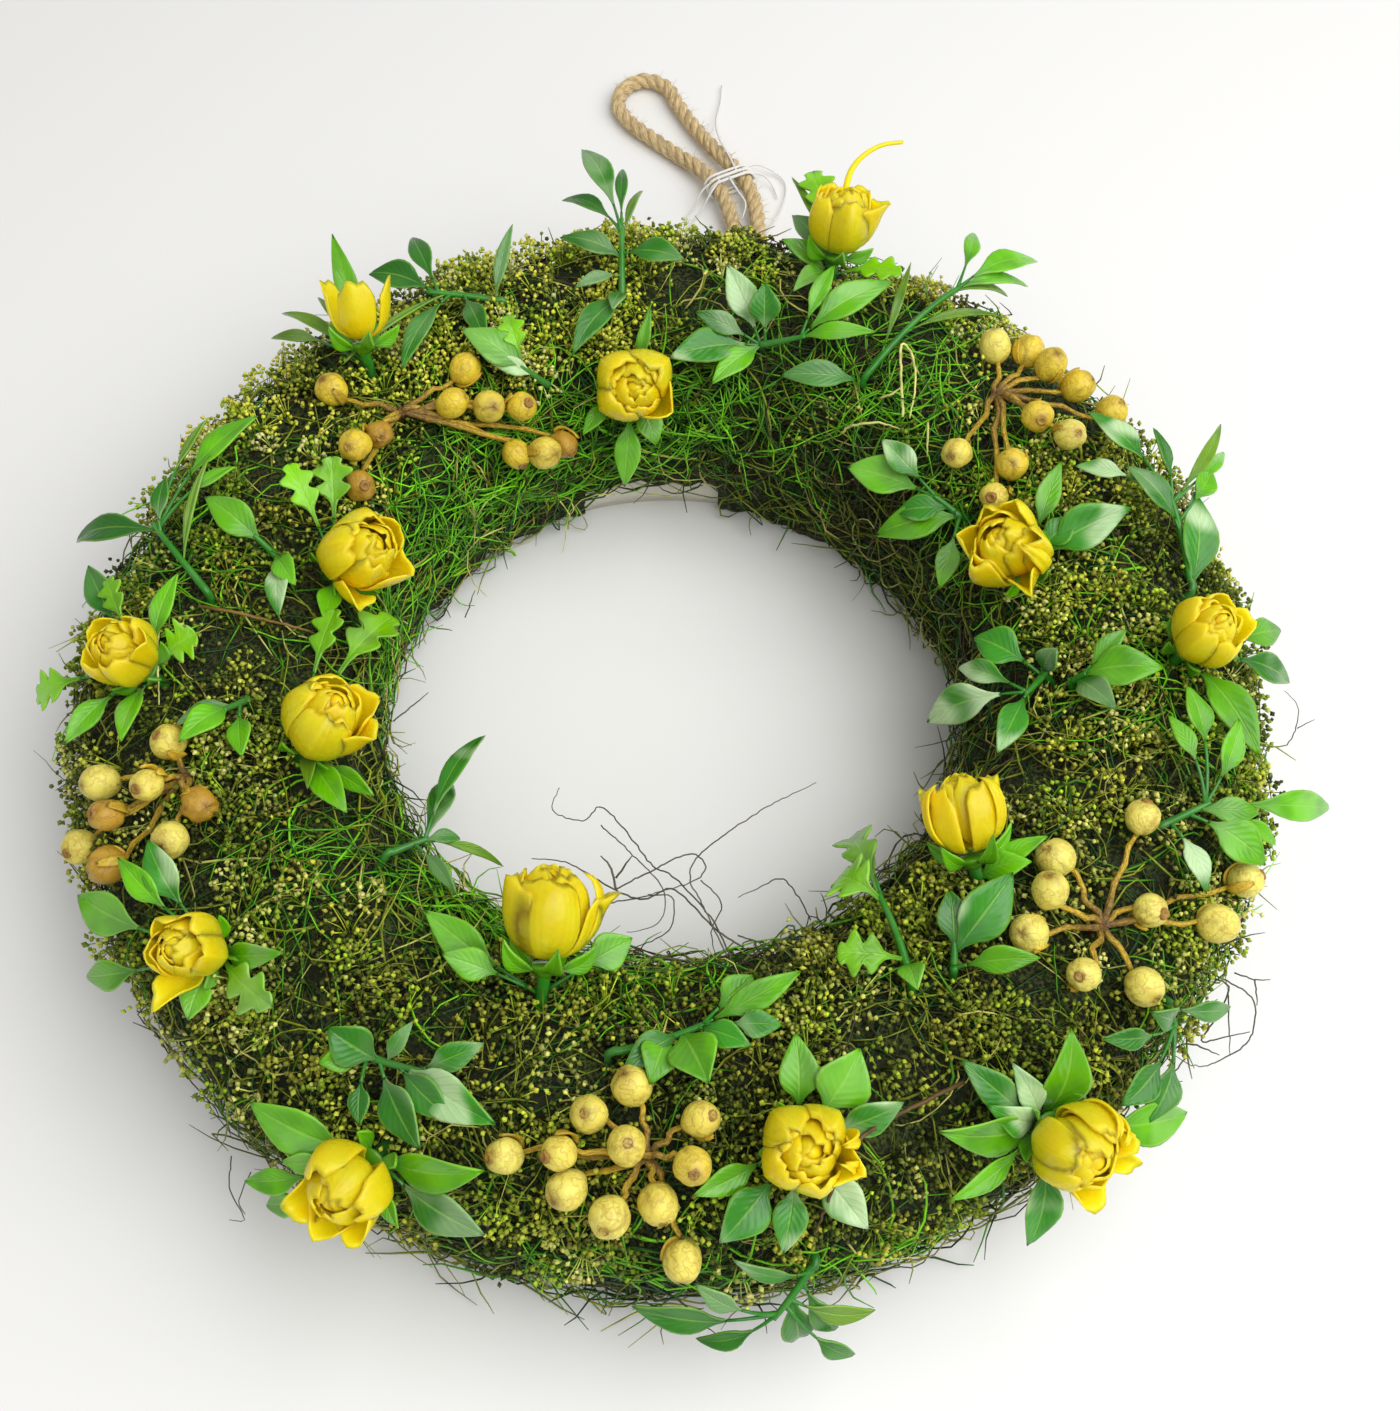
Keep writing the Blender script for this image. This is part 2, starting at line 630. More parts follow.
LEAF_THICKNESS = 0.55
LEAF_BREADTH = 1.06
LEAF_ARCH = 1.2
LEAF_FOLD = 0.25
FACING = np.array((0.0, -0.5, 0.87))
LOBED_SWEEP = 0.45
LANCE_SWEEP = 0.03
LEAF_TWIST = 0.35
LEAF_WAVE = 0.05
LOBED_STATIONS = np.linspace(0, 1, 27)
LEAF_STATIONS = np.array((0, 0.05, 0.11, 0.18, 0.26, 0.35, 0.45, 0.55, 0.65, 0.75, 0.84, 0.92, 1.0))
LEAF_COLUMNS = np.array((-1.0, -0.88, -0.58, -0.28, 0.0, 0.28, 0.58, 0.88, 1.0))
LANCE_SHAPE = ((0, 0.1), (0.08, 0.14), (0.18, 0.42), (0.28, 0.8), (0.4, 1.0), (0.55, 0.95),
               (0.7, 0.72), (0.82, 0.46), (0.92, 0.22), (1.0, 0.03))
LOBED_SHAPE = ((0, 0.1), (0.16, 0.14), (0.26, 0.3), (0.32, 0.78), (0.38, 1.02), (0.43, 0.95),
               (0.48, 0.5), (0.53, 0.5), (0.6, 1.1), (0.66, 1.22), (0.71, 1.1), (0.76, 0.6),
               (0.81, 0.5), (0.88, 0.62), (0.94, 0.48), (1.0, 0.05))
LEAF_DYES = {
    "b": (0.125, 0.440, 0.002),
    "d": (0.026, 0.180, 0.008),
    "w": (0.040, 0.260, 0.012),
    "l": (0.200, 0.540, 0.004),
    "n": (0.130, 0.270, 0.008),
}
LEAF_MILK = {"w": (0.5, 0.85), "d": (0.0, 0.3)}
PLAIN_MILK = (0.0, 0.15)
STEM_DYE = (0.030, 0.230, 0.014)


def leaf_blade(base, middle, tip, width, kind, dice):
    """A folded, arched blade between two points, with where each point lies and its dye."""
    lobed = kind == "l"
    stations = LOBED_STATIONS if lobed else LEAF_STATIONS
    shape = np.array(LOBED_SHAPE if lobed else LANCE_SHAPE)
    across = LEAF_COLUMNS[None, :]
    sweep = LOBED_SWEEP if lobed else LANCE_SWEEP
    along = stations[:, None] + sweep * np.abs(across) * (1 - stations[:, None]) * stations[:, None]
    breadth = np.interp(stations, shape[:, 0], shape[:, 1])[:, None] * width * LEAF_BREADTH / 2
    axis = unit(tip - base)
    side = unit(np.cross(tip - base, FACING + unit(middle - (base + tip) / 2) * 0.5))
    up = np.cross(side, axis)
    bend = middle * 2 - (base + tip) / 2
    t = along[..., None]
    spine = base * (1 - t) ** 2 + bend * 2 * t * (1 - t) + tip * t ** 2
    roll_over = dice.uniform(-LEAF_TWIST, LEAF_TWIST) * along
    wave = (LEAF_WAVE * width * np.sin(dice.uniform(5, 8) * along + dice.uniform(0, 6))
            * np.abs(across))
    rise = np.abs(across) ** 1.3 * LEAF_FOLD * breadth + wave * along
    offset_side = across * breadth * np.cos(roll_over)
    offset_up = rise + across * breadth * np.sin(roll_over)
    grid = spine + side * offset_side[..., None] + up * offset_up[..., None]
    dye = np.array(LEAF_DYES[kind]) * dice.uniform(0.8, 1.2)
    milk = dice.uniform(*LEAF_MILK.get(kind, PLAIN_MILK))
    values = np.empty(grid.shape[:2] + (6,))
    values[..., 0] = across
    values[..., 1] = along
    values[..., 2] = milk
    values[..., 3:] = dye
    return closed_sheet(grid, LEAF_THICKNESS * MM, values)


test_blade = leaf_blade(np.zeros(3), np.array((10, 0, 1.0)) * MM, np.array((20, 0, 0)) * MM,
                        7 * MM, "b", random.Random(1))
print("faces in a blade:", len(test_blade[1]))

# %% [markdown]
# ## Where each leaf goes
#
# A leaf joins its stem at one place on the ring and ends at another, both given by clock, roll and
# lift. Its middle is lifted a little, so that it arches over the moss between them. Many leaves
# have a thin stalk of their own, which takes up a share of the way before the blade begins.

# %% A leaf from its stem to its tip
def near(clock, other):
    """The same clock, counted so that it lies within half a turn of the other."""
    return other + (clock - other + 180) % 360 - 180


def stem_tube(path, radii, sides, shade=1.0):
    """A green stem: a tube whose points carry the leaf finish's values."""
    points, faces, lie = tube(path, radii, sides)
    values = np.empty((len(points), 6))
    values[:, 0] = 0.5
    values[:, 1] = lie[:, 0] * 0.02
    values[:, 2] = 0.05
    values[:, 3:] = np.array(STEM_DYE) * shade
    return points, faces, values


LEAF_STALK_RADII = np.array((0.5, 0.42, 0.36, 0.32, 0.3)) * MM
LEAF_STALK_SIDES = 6
LEAF_STALK_SHADE = 1.3


def leaf_from(start, leaf_row, root_offset, dice):
    """A leaf from its place on the stem: a stalk for a share of the way, and a blade."""
    clock, roll, lift, width, kind, stalk = leaf_row
    clock = near(clock, start[0])
    tip = ring_points(clock, roll, lift)
    root = ring_points(*start)
    root = root + unit(tip - root) * root_offset * MM
    middle_lift = (start[2] + lift) / 2 + LEAF_ARCH
    middle = ring_points((start[0] + clock) / 2, (start[1] + roll) / 2, middle_lift)
    bend = middle * 2 - (root + tip) / 2
    t = np.linspace(0, stalk, len(LEAF_STALK_RADII))[:, None]
    path = root * (1 - t) ** 2 + bend * 2 * t * (1 - t) + tip * t ** 2
    foot = path[-1]
    blade_bend = bend + (tip - bend) * stalk
    blade = leaf_blade(foot, foot / 4 + blade_bend / 2 + tip / 4, tip, width * MM, kind, dice)
    if not stalk:
        return blade
    return merge([blade, stem_tube(path, LEAF_STALK_RADII, LEAF_STALK_SIDES, LEAF_STALK_SHADE)])


def green_piece(name, parts, node):
    """One spray or pick, joined from its stem and leaves."""
    points, faces, values = merge(parts)
    item = make_piece(name, points, faces, leaf_plastic)
    keep_on_points(item, "blade", values[:, :3])
    keep_on_points(item, "dye", values[:, 3:])
    belongs(item, "leaf", node)
    return item


print("a leaf's dye:", LEAF_DYES["b"])

# %% [markdown]
# ## The leaf sprays
#
# Twenty plastic sprays are pushed into the grass: a stem that leaves its hole and bends over the
# moss, with narrow, broad or lobed leaves up its length. They could be one spray copied round, but
# in the photograph each lies differently, so each has a row here. It starts with the clock and roll
# of the stem's root, and the clock, roll and lift of its end. Then each leaf says how far up the
# stem it joins, where its tip lies as clock, roll and lift, how wide it is, its kind, and the share
# of its length that is stalk.

# %% The rows of the sprays
SPRAYS = (
    (275, 87, 282, 66, 9,
     ((0.45, 290, 80, 14, 2, "n", 0), (0.85, 287, 68, 12, 4, "d", 0.2), (0.9, 282, 29, 11, 6, "d", 0),
      (0.9, 290, 87, 12, 3, "b", 0.5), (0.9, 295, 72, 14, 2, "n", 0.5), (0.9, 297, 86, 15, 6, "b", 0.4))),
    (337, 86, 328, 72, 6,
     ((0.15, 341, 66, 12, 3, "d", 0), (0.55, 331, 105, 5, 5, "d", 0.15), (0.7, 318, 98, 5, 5, "d", 0.15),
      (0.75, 313, 80, 4, 2, "n", 0), (0.85, 331, 41, 12, 5, "d", 0.15), (0.9, 324, 53, 10, 7, "d", 0.1))),
    (353, 96, 354, 72, 9,
     ((0, 343, 120, 7, 6, "d", 0), (0.05, 351, 107, 7, 4, "d", 0), (0.3, 346, 96, 7, 3, "d", 0.1),
      (0.55, 346, 74, 9, 6, "d", 0), (0.6, 2, 90, 9, 6, "d", 0.1), (0.7, 357, 47, 11, 2, "n", 0.15),
      (0.9, 348, 44, 11, 4, "d", 0.2), (0.9, 351, 37, 22, 6, "d", 0.2), (0.9, 355, 42, 16, 3, "d", 0.2))),
    (15, 115, 22, 110, 6,
     ((0, 0, 125, 8, 8, "w", 0.15), (0, 4, 109, 8, 5, "d", 0.25), (0, 8, 134, 7, 6, "b", 0),
      (0, 8, 91, 9, 7, "w", 0.2), (0.1, 14, 98, 11, 7, "w", 0.25), (0.9, 22, 82, 9, 4, "b", 0.2),
      (0.9, 30, 80, 9, 7, "b", 0.1), (0.9, 32, 101, 8, 4, "b", 0))),
    (33, 116, 37, 62, 9,
     ((0, 20, 126, 5, 6, "d", 0.05), (0.2, 30, 66, 9, 2, "n", 0.1), (0.4, 42, 59, 5, 2, "n", 0.1),
      (0.8, 40, 42, 7, 2, "n", 0.15), (0.85, 41, 38, 11, 4, "b", 0.1), (0.9, 33, 38, 16, 4, "b", 0.25),
      (0.9, 40, 34, 17, 6, "b", 0.15))),
    (338, 128, 334, 118, 6,
     ((0.5, 329, 111, 7, 4, "w", 0), (0.85, 328, 99, 9, 8, "b", 0), (0.9, 335, 101, 9, 5, "l", 0.1))),
    (282, 108, 283, 98, 6,
     ((0, 270, 112, 8, 5, "w", 0), (0.2, 276, 115, 8, 5, "b", 0), (0.7, 286, 80, 9, 7, "b", 0))),
    (259, 104, 256, 96, 6,
     ((0.35, 248, 98, 8, 5, "b", 0.3), (0.6, 255, 82, 7, 4, "d", 0), (0.75, 252, 83, 9, 6, "b", 0))),
    (229, 130, 227, 142, 6,
     ((0.65, 215, 130, 6, 3, "d", 0.2), (0.75, 224, 151, 8, 3, "d", 0.1), (0.9, 216, 163, 8, 2, "n", 0.1),
      (0.9, 243, 174, 11, 5, "d", 0), (0.9, 247, 168, 22, 4, "d", 0.15))),
    (213, 70, 204, 76, 6,
     ((0.15, 214, 64, 8, 5, "b", 0), (0.2, 208, 55, 7, 4, "d", 0.4), (0.35, 202, 57, 8, 7, "d", 0.2),
      (0.35, 215, 73, 9, 8, "d", 0), (0.45, 208, 86, 8, 3, "d", 0), (0.6, 200, 67, 8, 6, "d", 0.1),
      (0.7, 196, 70, 10, 8, "w", 0), (0.85, 200, 88, 8, 5, "d", 0.1))),
    (187, 97, 175, 104, 6,
     ((0.55, 182, 86, 7, 7, "b", 0), (0.65, 185, 90, 6, 6, "d", 0), (0.7, 176, 85, 9, 9, "b", 0),
      (0.85, 171, 94, 8, 5, "w", 0.1), (0.9, 163, 109, 11, 5, "b", 0.1), (0.9, 167, 98, 8, 5, "w", 0.4),
      (0.9, 169, 112, 10, 6, "b", 0.3))),
    (168, 22, 172, 8, 7,
     ((0.2, 175, 36, 6, 3, "d", 0.15), (0.35, 167, -6, 9, 5, "d", 0.1), (0.6, 170, -10, 9, 6, "d", 0),
      (0.65, 164, 2, 8, 4, "n", 0.15), (0.75, 166, -13, 14, 4, "d", 0.4), (0.9, 178, 27, 6, 4, "d", 0.45),
      (0.9, 178, -6, 8, 4, "d", 0.3), (0.9, 183, 15, 6, 6, "d", 0.35))),
    (145, 96, 143, 102, 5,
     ((0.1, 138, 82, 8, 5, "b", 0.15), (0.55, 133, 101, 11, 9, "w", 0), (0.7, 140, 110, 10, 6, "d", 0))),
    (150, 100, 146, 128, 7,
     ((0.2, 151, 94, 7, 5, "b", 0), (0.25, 157, 115, 7, 7, "l", 0), (0.9, 137, 167, 10, 7, "l", 0),
      (0.9, 139, 152, 8, 2, "n", 0.3), (0.9, 148, 145, 8, 9, "l", 0))),
    (96, 122, 101, 126, 5,
     ((0, 95, 114, 8, 5, "d", 0), (0.1, 89, 141, 9, 8, "w", 0.25), (0.9, 103, 165, 9, 8, "w", 0.2),
      (0.9, 114, 127, 8, 6, "w", 0.1), (0.9, 93, 151, 8, 5, "w", 0.2))),
    (98, 112, 98, 106, 5,
     ((0.35, 104, 96, 7, 6, "d", 0), (0.9, 93, 94, 9, 4, "b", 0.15), (0.9, 98, 84, 9, 8, "b", 0))),
    (62, 134, 57, 135, 5,
     ((0, 54, 160, 9, 8, "b", 0), (0, 75, 149, 9, 5, "b", 0.3), (0.4, 54, 149, 7, 6, "w", 0),
      (0.9, 40, 146, 8, 9, "b", 0.2), (0.9, 43, 131, 8, 6, "w", 0.3))),
    (84, 60, 73, 64, 8,
     ((0.05, 73, 54, 9, 8, "w", 0), (0.6, 69, 76, 9, 6, "d", 0.15), (0.7, 71, 46, 12, 5, "b", 0.35),
      (0.9, 60, 74, 8, 7, "w", 0.4), (0.9, 66, 36, 17, 3, "n", 0.1), (0.9, 66, 89, 6, 4, "w", 0.5),
      (0.9, 66, 64, 13, 3, "d", 0.3), (0.9, 68, 32, 14, 3, "b", 0.3), (0.9, 70, 75, 7, 3, "d", 0.4))),
    (115, 72, 111, 62, 6,
     ((0.2, 120, 54, 7, 5, "w", 0.25), (0.55, 114, 40, 9, 8, "b", 0.2), (0.7, 110, 48, 9, 5, "b", 0.05),
      (0.9, 102, 62, 10, 5, "b", 0.3), (0.9, 104, 16, 14, 6, "b", 0.2), (0.9, 104, 82, 9, 4, "b", 0.45),
      (0.9, 111, 35, 8, 3, "b", 0.35), (0.9, 100, 78, 10, 6, "b", 0.5))),
    (129, 36, 131, 34, 5,
     ((0.3, 125, 18, 7, 4, "d", 0.1), (0.6, 133, 50, 8, 5, "d", 0.1), (0.9, 138, 19, 8, 6, "d", 0.35),
      (0.9, 138, 54, 6, 4, "d", 0.4), (0.9, 140, 35, 8, 6, "d", 0.4))),
)
print("sprays:", len(SPRAYS), "leaves on them:", sum(len(row[5]) for row in SPRAYS))

# %% Make the sprays
STEM_SUNK_LIFT = -7.4
STEM_START_LIFT = 1.4
SPRAY_LEAF_OFFSET = 0.2
SPRAY_STEM_RADIUS = 0.85
SPRAY_STEM_SIDES = 8
SPRAY_STEM_TAPER = ((0, 0.2, 1), (1.0, 1.0, 0.62))
SPRAY_SEEDS_FROM = 100
SPRAY_PLACES = 9


def spray_place(row, share):
    """The place on the ring at a share of a spray's free stem."""
    clock, roll, end_clock, end_roll, end_lift = row[:5]
    end_clock = near(end_clock, clock)
    start = np.array((clock, roll, STEM_START_LIFT))
    return start + (np.array((end_clock, end_roll, end_lift)) - start) * share


def make_spray(number, row):
    """One spray: its stem, and a leaf for each of its leaf rows."""
    dice = random.Random(SPRAY_SEEDS_FROM + number)
    shares = np.linspace(0, 1, SPRAY_PLACES)
    places = np.array([(row[0], row[1], STEM_SUNK_LIFT)] + [spray_place(row, s) for s in shares])
    path = smooth_line(ring_points(*places.T), 2)
    radii = np.interp(np.linspace(0, 1, len(path)), *SPRAY_STEM_TAPER)
    parts = [stem_tube(path, radii * SPRAY_STEM_RADIUS * MM, SPRAY_STEM_SIDES)]
    for share, *leaf_row in row[5]:
        parts.append(leaf_from(spray_place(row, share), leaf_row, SPRAY_LEAF_OFFSET, dice))
    return green_piece(f"leaf_spray_{number:02d}", parts, f"spray_{number:02d}")


foliage = [make_spray(number, row) for number, row in enumerate(SPRAYS, start=1)]
print("made", len(foliage), "sprays")

# %% [markdown]
# ## Rose plastic
#
# The petals are waxy yellow plastic. Light goes some way in and comes out again, so rims look
# lighter, and the hollows between the petals glow ochre. Subsurface light does much of that, and a
# few nodes help it: the rim is mixed with a lighter yellow, and the foot of each petal with ochre.

# %% The rose finish
rose_plastic, tree, shader = start_finish(
    "rose_plastic", 0.36, Specular_IOR_Level=0.28, Subsurface_Weight=0.75,
    Subsurface_Radius=(1.0, 0.85, 0.1), Subsurface_Scale=3.5 * MM)
petal_across, petal_along, _ = stored_parts(tree, "petal")
petal_rim = sums(tree, "MAXIMUM", rising(tree, petal_along, 0.84, 1.0),
                 rising(tree, sums(tree, "ABSOLUTE", petal_across), 0.82, 1.0))
petal_yellow = mixed(tree, rising(tree, mottle(tree, 150, 2.0), 0.3, 0.7),
                     colour(0.93, 0.59, 0.004), colour(0.97, 0.71, 0.012))
petal_deep = tinted(tree, rising(tree, petal_along, 0.6, 0.05), 0.25,
                    petal_yellow, colour(0.88, 0.54, 0.003))
petal_colour = tinted(tree, petal_rim, 0.35, petal_deep, colour(0.98, 0.72, 0.04))
tree.links.new(petal_colour, shader.inputs["Base Color"])
petal_grain = mottle(tree, 500, 3.0)
tree.links.new(sums(tree, "MULTIPLY_ADD", petal_grain, 0.2, 0.17), shader.inputs["Roughness"])
petal_lines = add(tree, "ShaderNodeTexWave", {
    "Vector": stored(tree, "petal"), "Scale": 2.2, "Distortion": 2.0, "Detail": 2.0},
    bands_direction="X").outputs["Fac"]
raised(tree, shader, sums(tree, "MULTIPLY_ADD", petal_lines, 0.15, petal_grain), 0.25 * MM, 0.35)
print("finish:", rose_plastic.name)

# %% [markdown]
# ## The shape of a petal
#
# A petal is a grid wrapped part of the way round the bloom's axis. Its distance from the axis and
# its height follow a profile line from foot to tip, and there are three such lines for an outer
# petal: closed, open and wide. One edge lies further out than the other, so that neighbours overlap
# in a spiral. The tip juts out as a corner and curls down, which is why these roses look square or
# starry from the front and not round. The rim waves a little, as thin plastic does when it cools.
# All sizes here are in mm, in the bloom's own space.

# %% The shape of a petal
PETAL_THICKNESS = 0.5
PETAL_ROWS = 13
PETAL_RUFFLES = (0.2, 0.5)
PETAL_COLUMNS = np.array((-1, -0.93, -0.78, -0.58, -0.38, -0.18, 0, 0.18, 0.38, 0.58, 0.78, 0.93, 1.0))
OUTER_LINES = (((0.6, 1.5), (4.4, 2.2), (7.3, 4.9), (8.2, 8.8), (6.8, 12.8), (3.2, 15.4)),
               ((0.6, 1.5), (3.8, 2.3), (6.6, 4.6), (7.9, 8.4), (8.2, 12.0), (8.8, 15.0)),
               ((0.6, 1.5), (4.4, 2.0), (7.8, 3.8), (9.8, 6.8), (11.4, 9.4), (13.4, 11.0)))
MIDDLE_LINES = (((0.6, 2.2), (3.3, 3.2), (5.9, 5.8), (6.6, 9.4), (5.2, 13.2), (2.3, 15.6)),
                ((0.6, 2.2), (3.0, 3.2), (5.2, 5.6), (6.2, 9.2), (6.3, 12.4), (6.4, 15.2)))
INNER_LINES = (((0.5, 3.0), (3.2, 4.4), (5.3, 7.2), (5.4, 11.0), (3.6, 14.2), (0.9, 16.4)),
               ((0.5, 3.0), (3.0, 4.6), (5.0, 7.4), (5.4, 11.2), (4.6, 14.0), (3.0, 16.0)))
HEART_LINES = (((0.3, 3.0), (2.2, 5.0), (3.5, 8.0), (3.6, 11.4), (2.4, 14.4), (0.3, 16.0)),
               ((0.3, 3.0), (2.2, 5.0), (3.5, 8.0), (3.6, 11.4), (2.8, 14.4), (1.2, 16.2)))


def petal_sheet(angle, lines, opening, spread, skew, curl, corner, dice, row):
    """One petal. Its opening goes from 0, closed, by one for each further line."""
    shapes = np.array(lines)
    lower = min(int(opening), len(shapes) - 2)
    profile = smooth_line(shapes[lower] + (shapes[lower + 1] - shapes[lower]) * (opening - lower), 6)
    reach = reach_along(profile) / reach_along(profile)[-1]
    across = PETAL_COLUMNS[None, :]
    rise = np.linspace(0, 1, PETAL_ROWS)[:, None]
    top = 1 - 0.2 * np.abs(across) ** 2.2 + 0.045 * np.sin(7 * across + dice.uniform(0, 6))
    along = rise * top
    tip = (1 - np.abs(across)) ** 1.3
    radius = np.interp(along, reach, profile[:, 0])
    height = np.interp(along, reach, profile[:, 1])
    breadth = np.interp(along, (0, 0.25, 0.5, 0.8, 1.0), (0.55, 0.95, 1.0, 0.95, 0.8))
    swing = angle + across * spread * breadth
    radius = radius * (1 + corner * (tip - 0.4) * along ** 0.7)
    radius = radius + skew * across * np.interp(along, (0, 0.4, 1), (0.1, 0.9, 1.0))
    radius = radius + curl * (0.35 + 0.65 * tip) * along ** 6
    ruffle = dice.uniform(*PETAL_RUFFLES)
    radius = radius + ruffle * np.sin(5.5 * across + dice.uniform(0, 6)) * along ** 2.5
    height = height - 0.6 * curl * tip * along ** 7
    grid = np.stack([radius * np.cos(swing), radius * np.sin(swing), height], axis=-1)
    values = np.empty(grid.shape)
    values[..., 0] = across
    values[..., 1] = along / top
    values[..., 2] = row
    return closed_sheet(grid, PETAL_THICKNESS, values)


print("points across a petal:", len(PETAL_COLUMNS))

# %% [markdown]
# ## The roses
#
# A first row for each rose says where it stands: clock, roll, size, the lift of its foot, how far
# it leans towards the top of the wreath, and then its leaves. Each leaf has the clock, roll and
# lift of its tip, its width, its kind and the share of it that is stalk. The second row shapes the
# petals. It has the bloom's width, the size of its bud, the number of petals in its middle row, how
# far its corners jut out, and for each outer petal which way it points, in degrees from the right
# as seen from the front, and how far it opens: 0 is closed, 1 open and 2 wide.

# %% The rows of the roses
ROSES = (
    (316, 84, 0.98, 8.0, 0.8,
     ((322, 55, 22, 5, "b", 0.2), (315, 34, 10, 3, "n", 0.2), (319, 37, 9, 2, "n", 0.25),
      (312, 38, 7, 3, "n", 0.45))),
    (353, 134, 1.0, 3.5, 0.0,
     ((357, 108, 9, 3, "b", 0.3), (341, 149, 8, 4, "b", 0.4), (349, 178, 8, 6, "b", 0.3),
      (357, 158, 8, 6, "b", 0.4))),
    (21, 70, 1.0, 6.0, 0.1,
     ((15, 42, 18, 7, "l", 0.4), (13, 42, 16, 2, "n", 0.4), (14, 48, 8, 6, "d", 0.3),
      (14, 70, 7, 5, "b", 0.1), (18, 96, 8, 5, "b", 0), (30, 73, 8, 6, "l", 0.1))),
    (284, 129, 1.05, 3.5, 0.0,
     ((299, 107, 8, 7, "l", 0.45), (295, 97, 7, 6, "l", 0.4), (272, 126, 7, 5, "b", 0.3))),
    (264.5, 70, 0.88, 3.5, 0.0,
     ((277, 49, 11, 6, "d", 0.5), (275, 58, 10, 5, "l", 0.5), (275, 81, 9, 5, "b", 0.3),
      (267, 89, 7, 8, "l", 0.3), (266, 24, 9, 7, "l", 0.5), (258, 45, 8, 5, "b", 0.4),
      (255, 66, 8, 5, "b", 0.2))),
    (250, 121, 1.03, 3.5, 0.0,
     ((278, 149, 9, 8, "l", 0.45), (274, 129, 8, 6, "l", 0.5), (241, 112, 7, 3, "n", 0),
      (235, 118, 8, 6, "b", 0.15), (237, 131, 7, 4, "b", 0.3))),
    (230.5, 63, 0.88, 3.5, 0.0,
     ((243, 58, 10, 5, "b", 0.5), (243, 67, 9, 7, "w", 0.45), (244, 34, 8, 8, "b", 0.5),
      (239, 13, 8, 6, "b", 0.5), (224, 80, 8, 5, "b", 0.05), (221, 68, 8, 7, "l", 0),
      (227, 46, 7, 6, "b", 0.35))),
    (197, 115, 1.14, 8.0, 1.0,
     ((216, 116, 7, 7, "b", 0.35), (210, 107, 7, 6, "b", 0.45), (186, 131, 9, 7, "b", 0.45))),
    (206.5, 42.5, 0.95, 3.5, 0.0,
     ((216, 12, 8, 5, "b", 0.5), (213, 33, 8, 4, "b", 0.5), (214, 3, 8, 5, "b", 0.6),
      (218, 41, 7, 8, "b", 0.2), (196, 58, 9, 8, "b", 0.1), (195, 38, 7, 7, "d", 0.3),
      (202, 32, 8, 3, "b", 0.45))),
    (168, 67, 0.96, 3.5, 0.0,
     ((166, 94, 10, 7, "b", 0.35), (160, 86, 9, 10, "b", 0.35), (158, 70, 9, 6, "w", 0.35),
      (164, 41, 8, 7, "w", 0.35), (176, 44, 8, 8, "w", 0.4), (171, 39, 8, 6, "w", 0.4),
      (178, 57, 7, 5, "b", 0.4))),
    (146, 40, 0.96, 3.5, 0.0,
     ((141, 65, 11, 9, "b", 0.05), (147, 66, 8, 5, "w", 0.2), (151, 73, 7, 6, "d", 0.35),
      (151, 60, 8, 6, "w", 0), (156, 60, 8, 8, "b", 0), (157, 41, 8, 4, "b", 0.3),
      (151, 3, 9, 7, "w", 0.3), (134, 8, 10, 8, "b", 0.4))),
    (133, 115, 1.0, 7.0, 0.9,
     ((125, 101, 8, 4, "b", 0.1), (129, 101, 7, 6, "b", 0))),
    (77, 121, 1.04, 3.5, 0.0,
     ((66, 95, 10, 5, "b", 0.4), (75, 82, 9, 9, "w", 0.25), (74, 98, 7, 6, "w", 0.4))),
    (93, 72, 0.9, 3.5, 0.0,
     ((87, 26, 9, 6, "b", 0.45), (92, 21, 8, 6, "d", 0.4), (104, 50, 8, 8, "b", 0.2))),
)
PETALS = (
    (0.84, 0.5, 0, 0.10, ((168, 1.0), (12, 0.9), (275, 0.8))),
    (0.98, 1.0, 3, 0.42, ((135, 0.2), (50, 0.1), (318, 0.7), (225, 0.1))),
    (0.88, 1.0, 3, 0.30, ((200, 0.3), (120, 0.6), (50, 0.7), (345, 1.0), (275, 0.2))),
    (0.96, 1.0, 3, 0.32, ((272, 1.6), (340, 0.7), (45, 0.5), (110, 0.2), (185, 0.1))),
    (0.92, 1.0, 3, 0.36, ((130, 0.5), (35, 0.4), (350, 1.0), (285, 0.4), (215, 0.5))),
    (0.93, 1.0, 3, 0.26, ((170, 0.0), (100, 0.2), (25, 0.8), (330, 1.0), (250, 0.1))),
    (0.90, 1.0, 3, 0.36, ((125, 0.4), (50, 0.5), (350, 0.6), (240, 1.7), (185, 0.3))),
    (0.84, 1.1, 3, 0.12, ((205, 0.6), (262, 0.2), (0, 1.5), (90, 0.8))),
    (0.94, 1.1, 0, 0.38, ((100, 0.3), (205, 1.1), (240, 0.8), (285, 0.9), (345, 0.3))),
    (0.93, 1.0, 3, 0.32, ((130, 0.0), (50, 0.1), (335, 0.9), (285, 0.3), (215, 0.1))),
    (0.94, 1.1, 3, 0.34, ((160, 0.0), (80, 0.2), (15, 0.9), (338, 1.3), (290, 1.0), (220, 0.1))),
    (0.84, 1.0, 0, 0.14, ((180, 0.7), (235, 0.3), (305, 0.4), (5, 0.8), (90, 0.8))),
    (0.95, 1.0, 3, 0.44, ((165, 0.6), (105, 0.3), (55, 0.5), (345, 0.6), (290, 1.5), (215, 0.4))),
    (0.90, 1.0, 3, 0.36, ((145, 0.3), (70, 0.4), (5, 0.8), (290, 0.4), (222, 0.3))),
)
SLENDER_PETALS = {1: 0.5, 12: 0.85}
LOOPED_PETALS = {8: (345,), 10: (12, 340), 11: (75, 40), 12: (225, 312), 13: (325,)}
print("roses:", len(ROSES), "outer petals:", sum(len(row[4]) for row in PETALS))

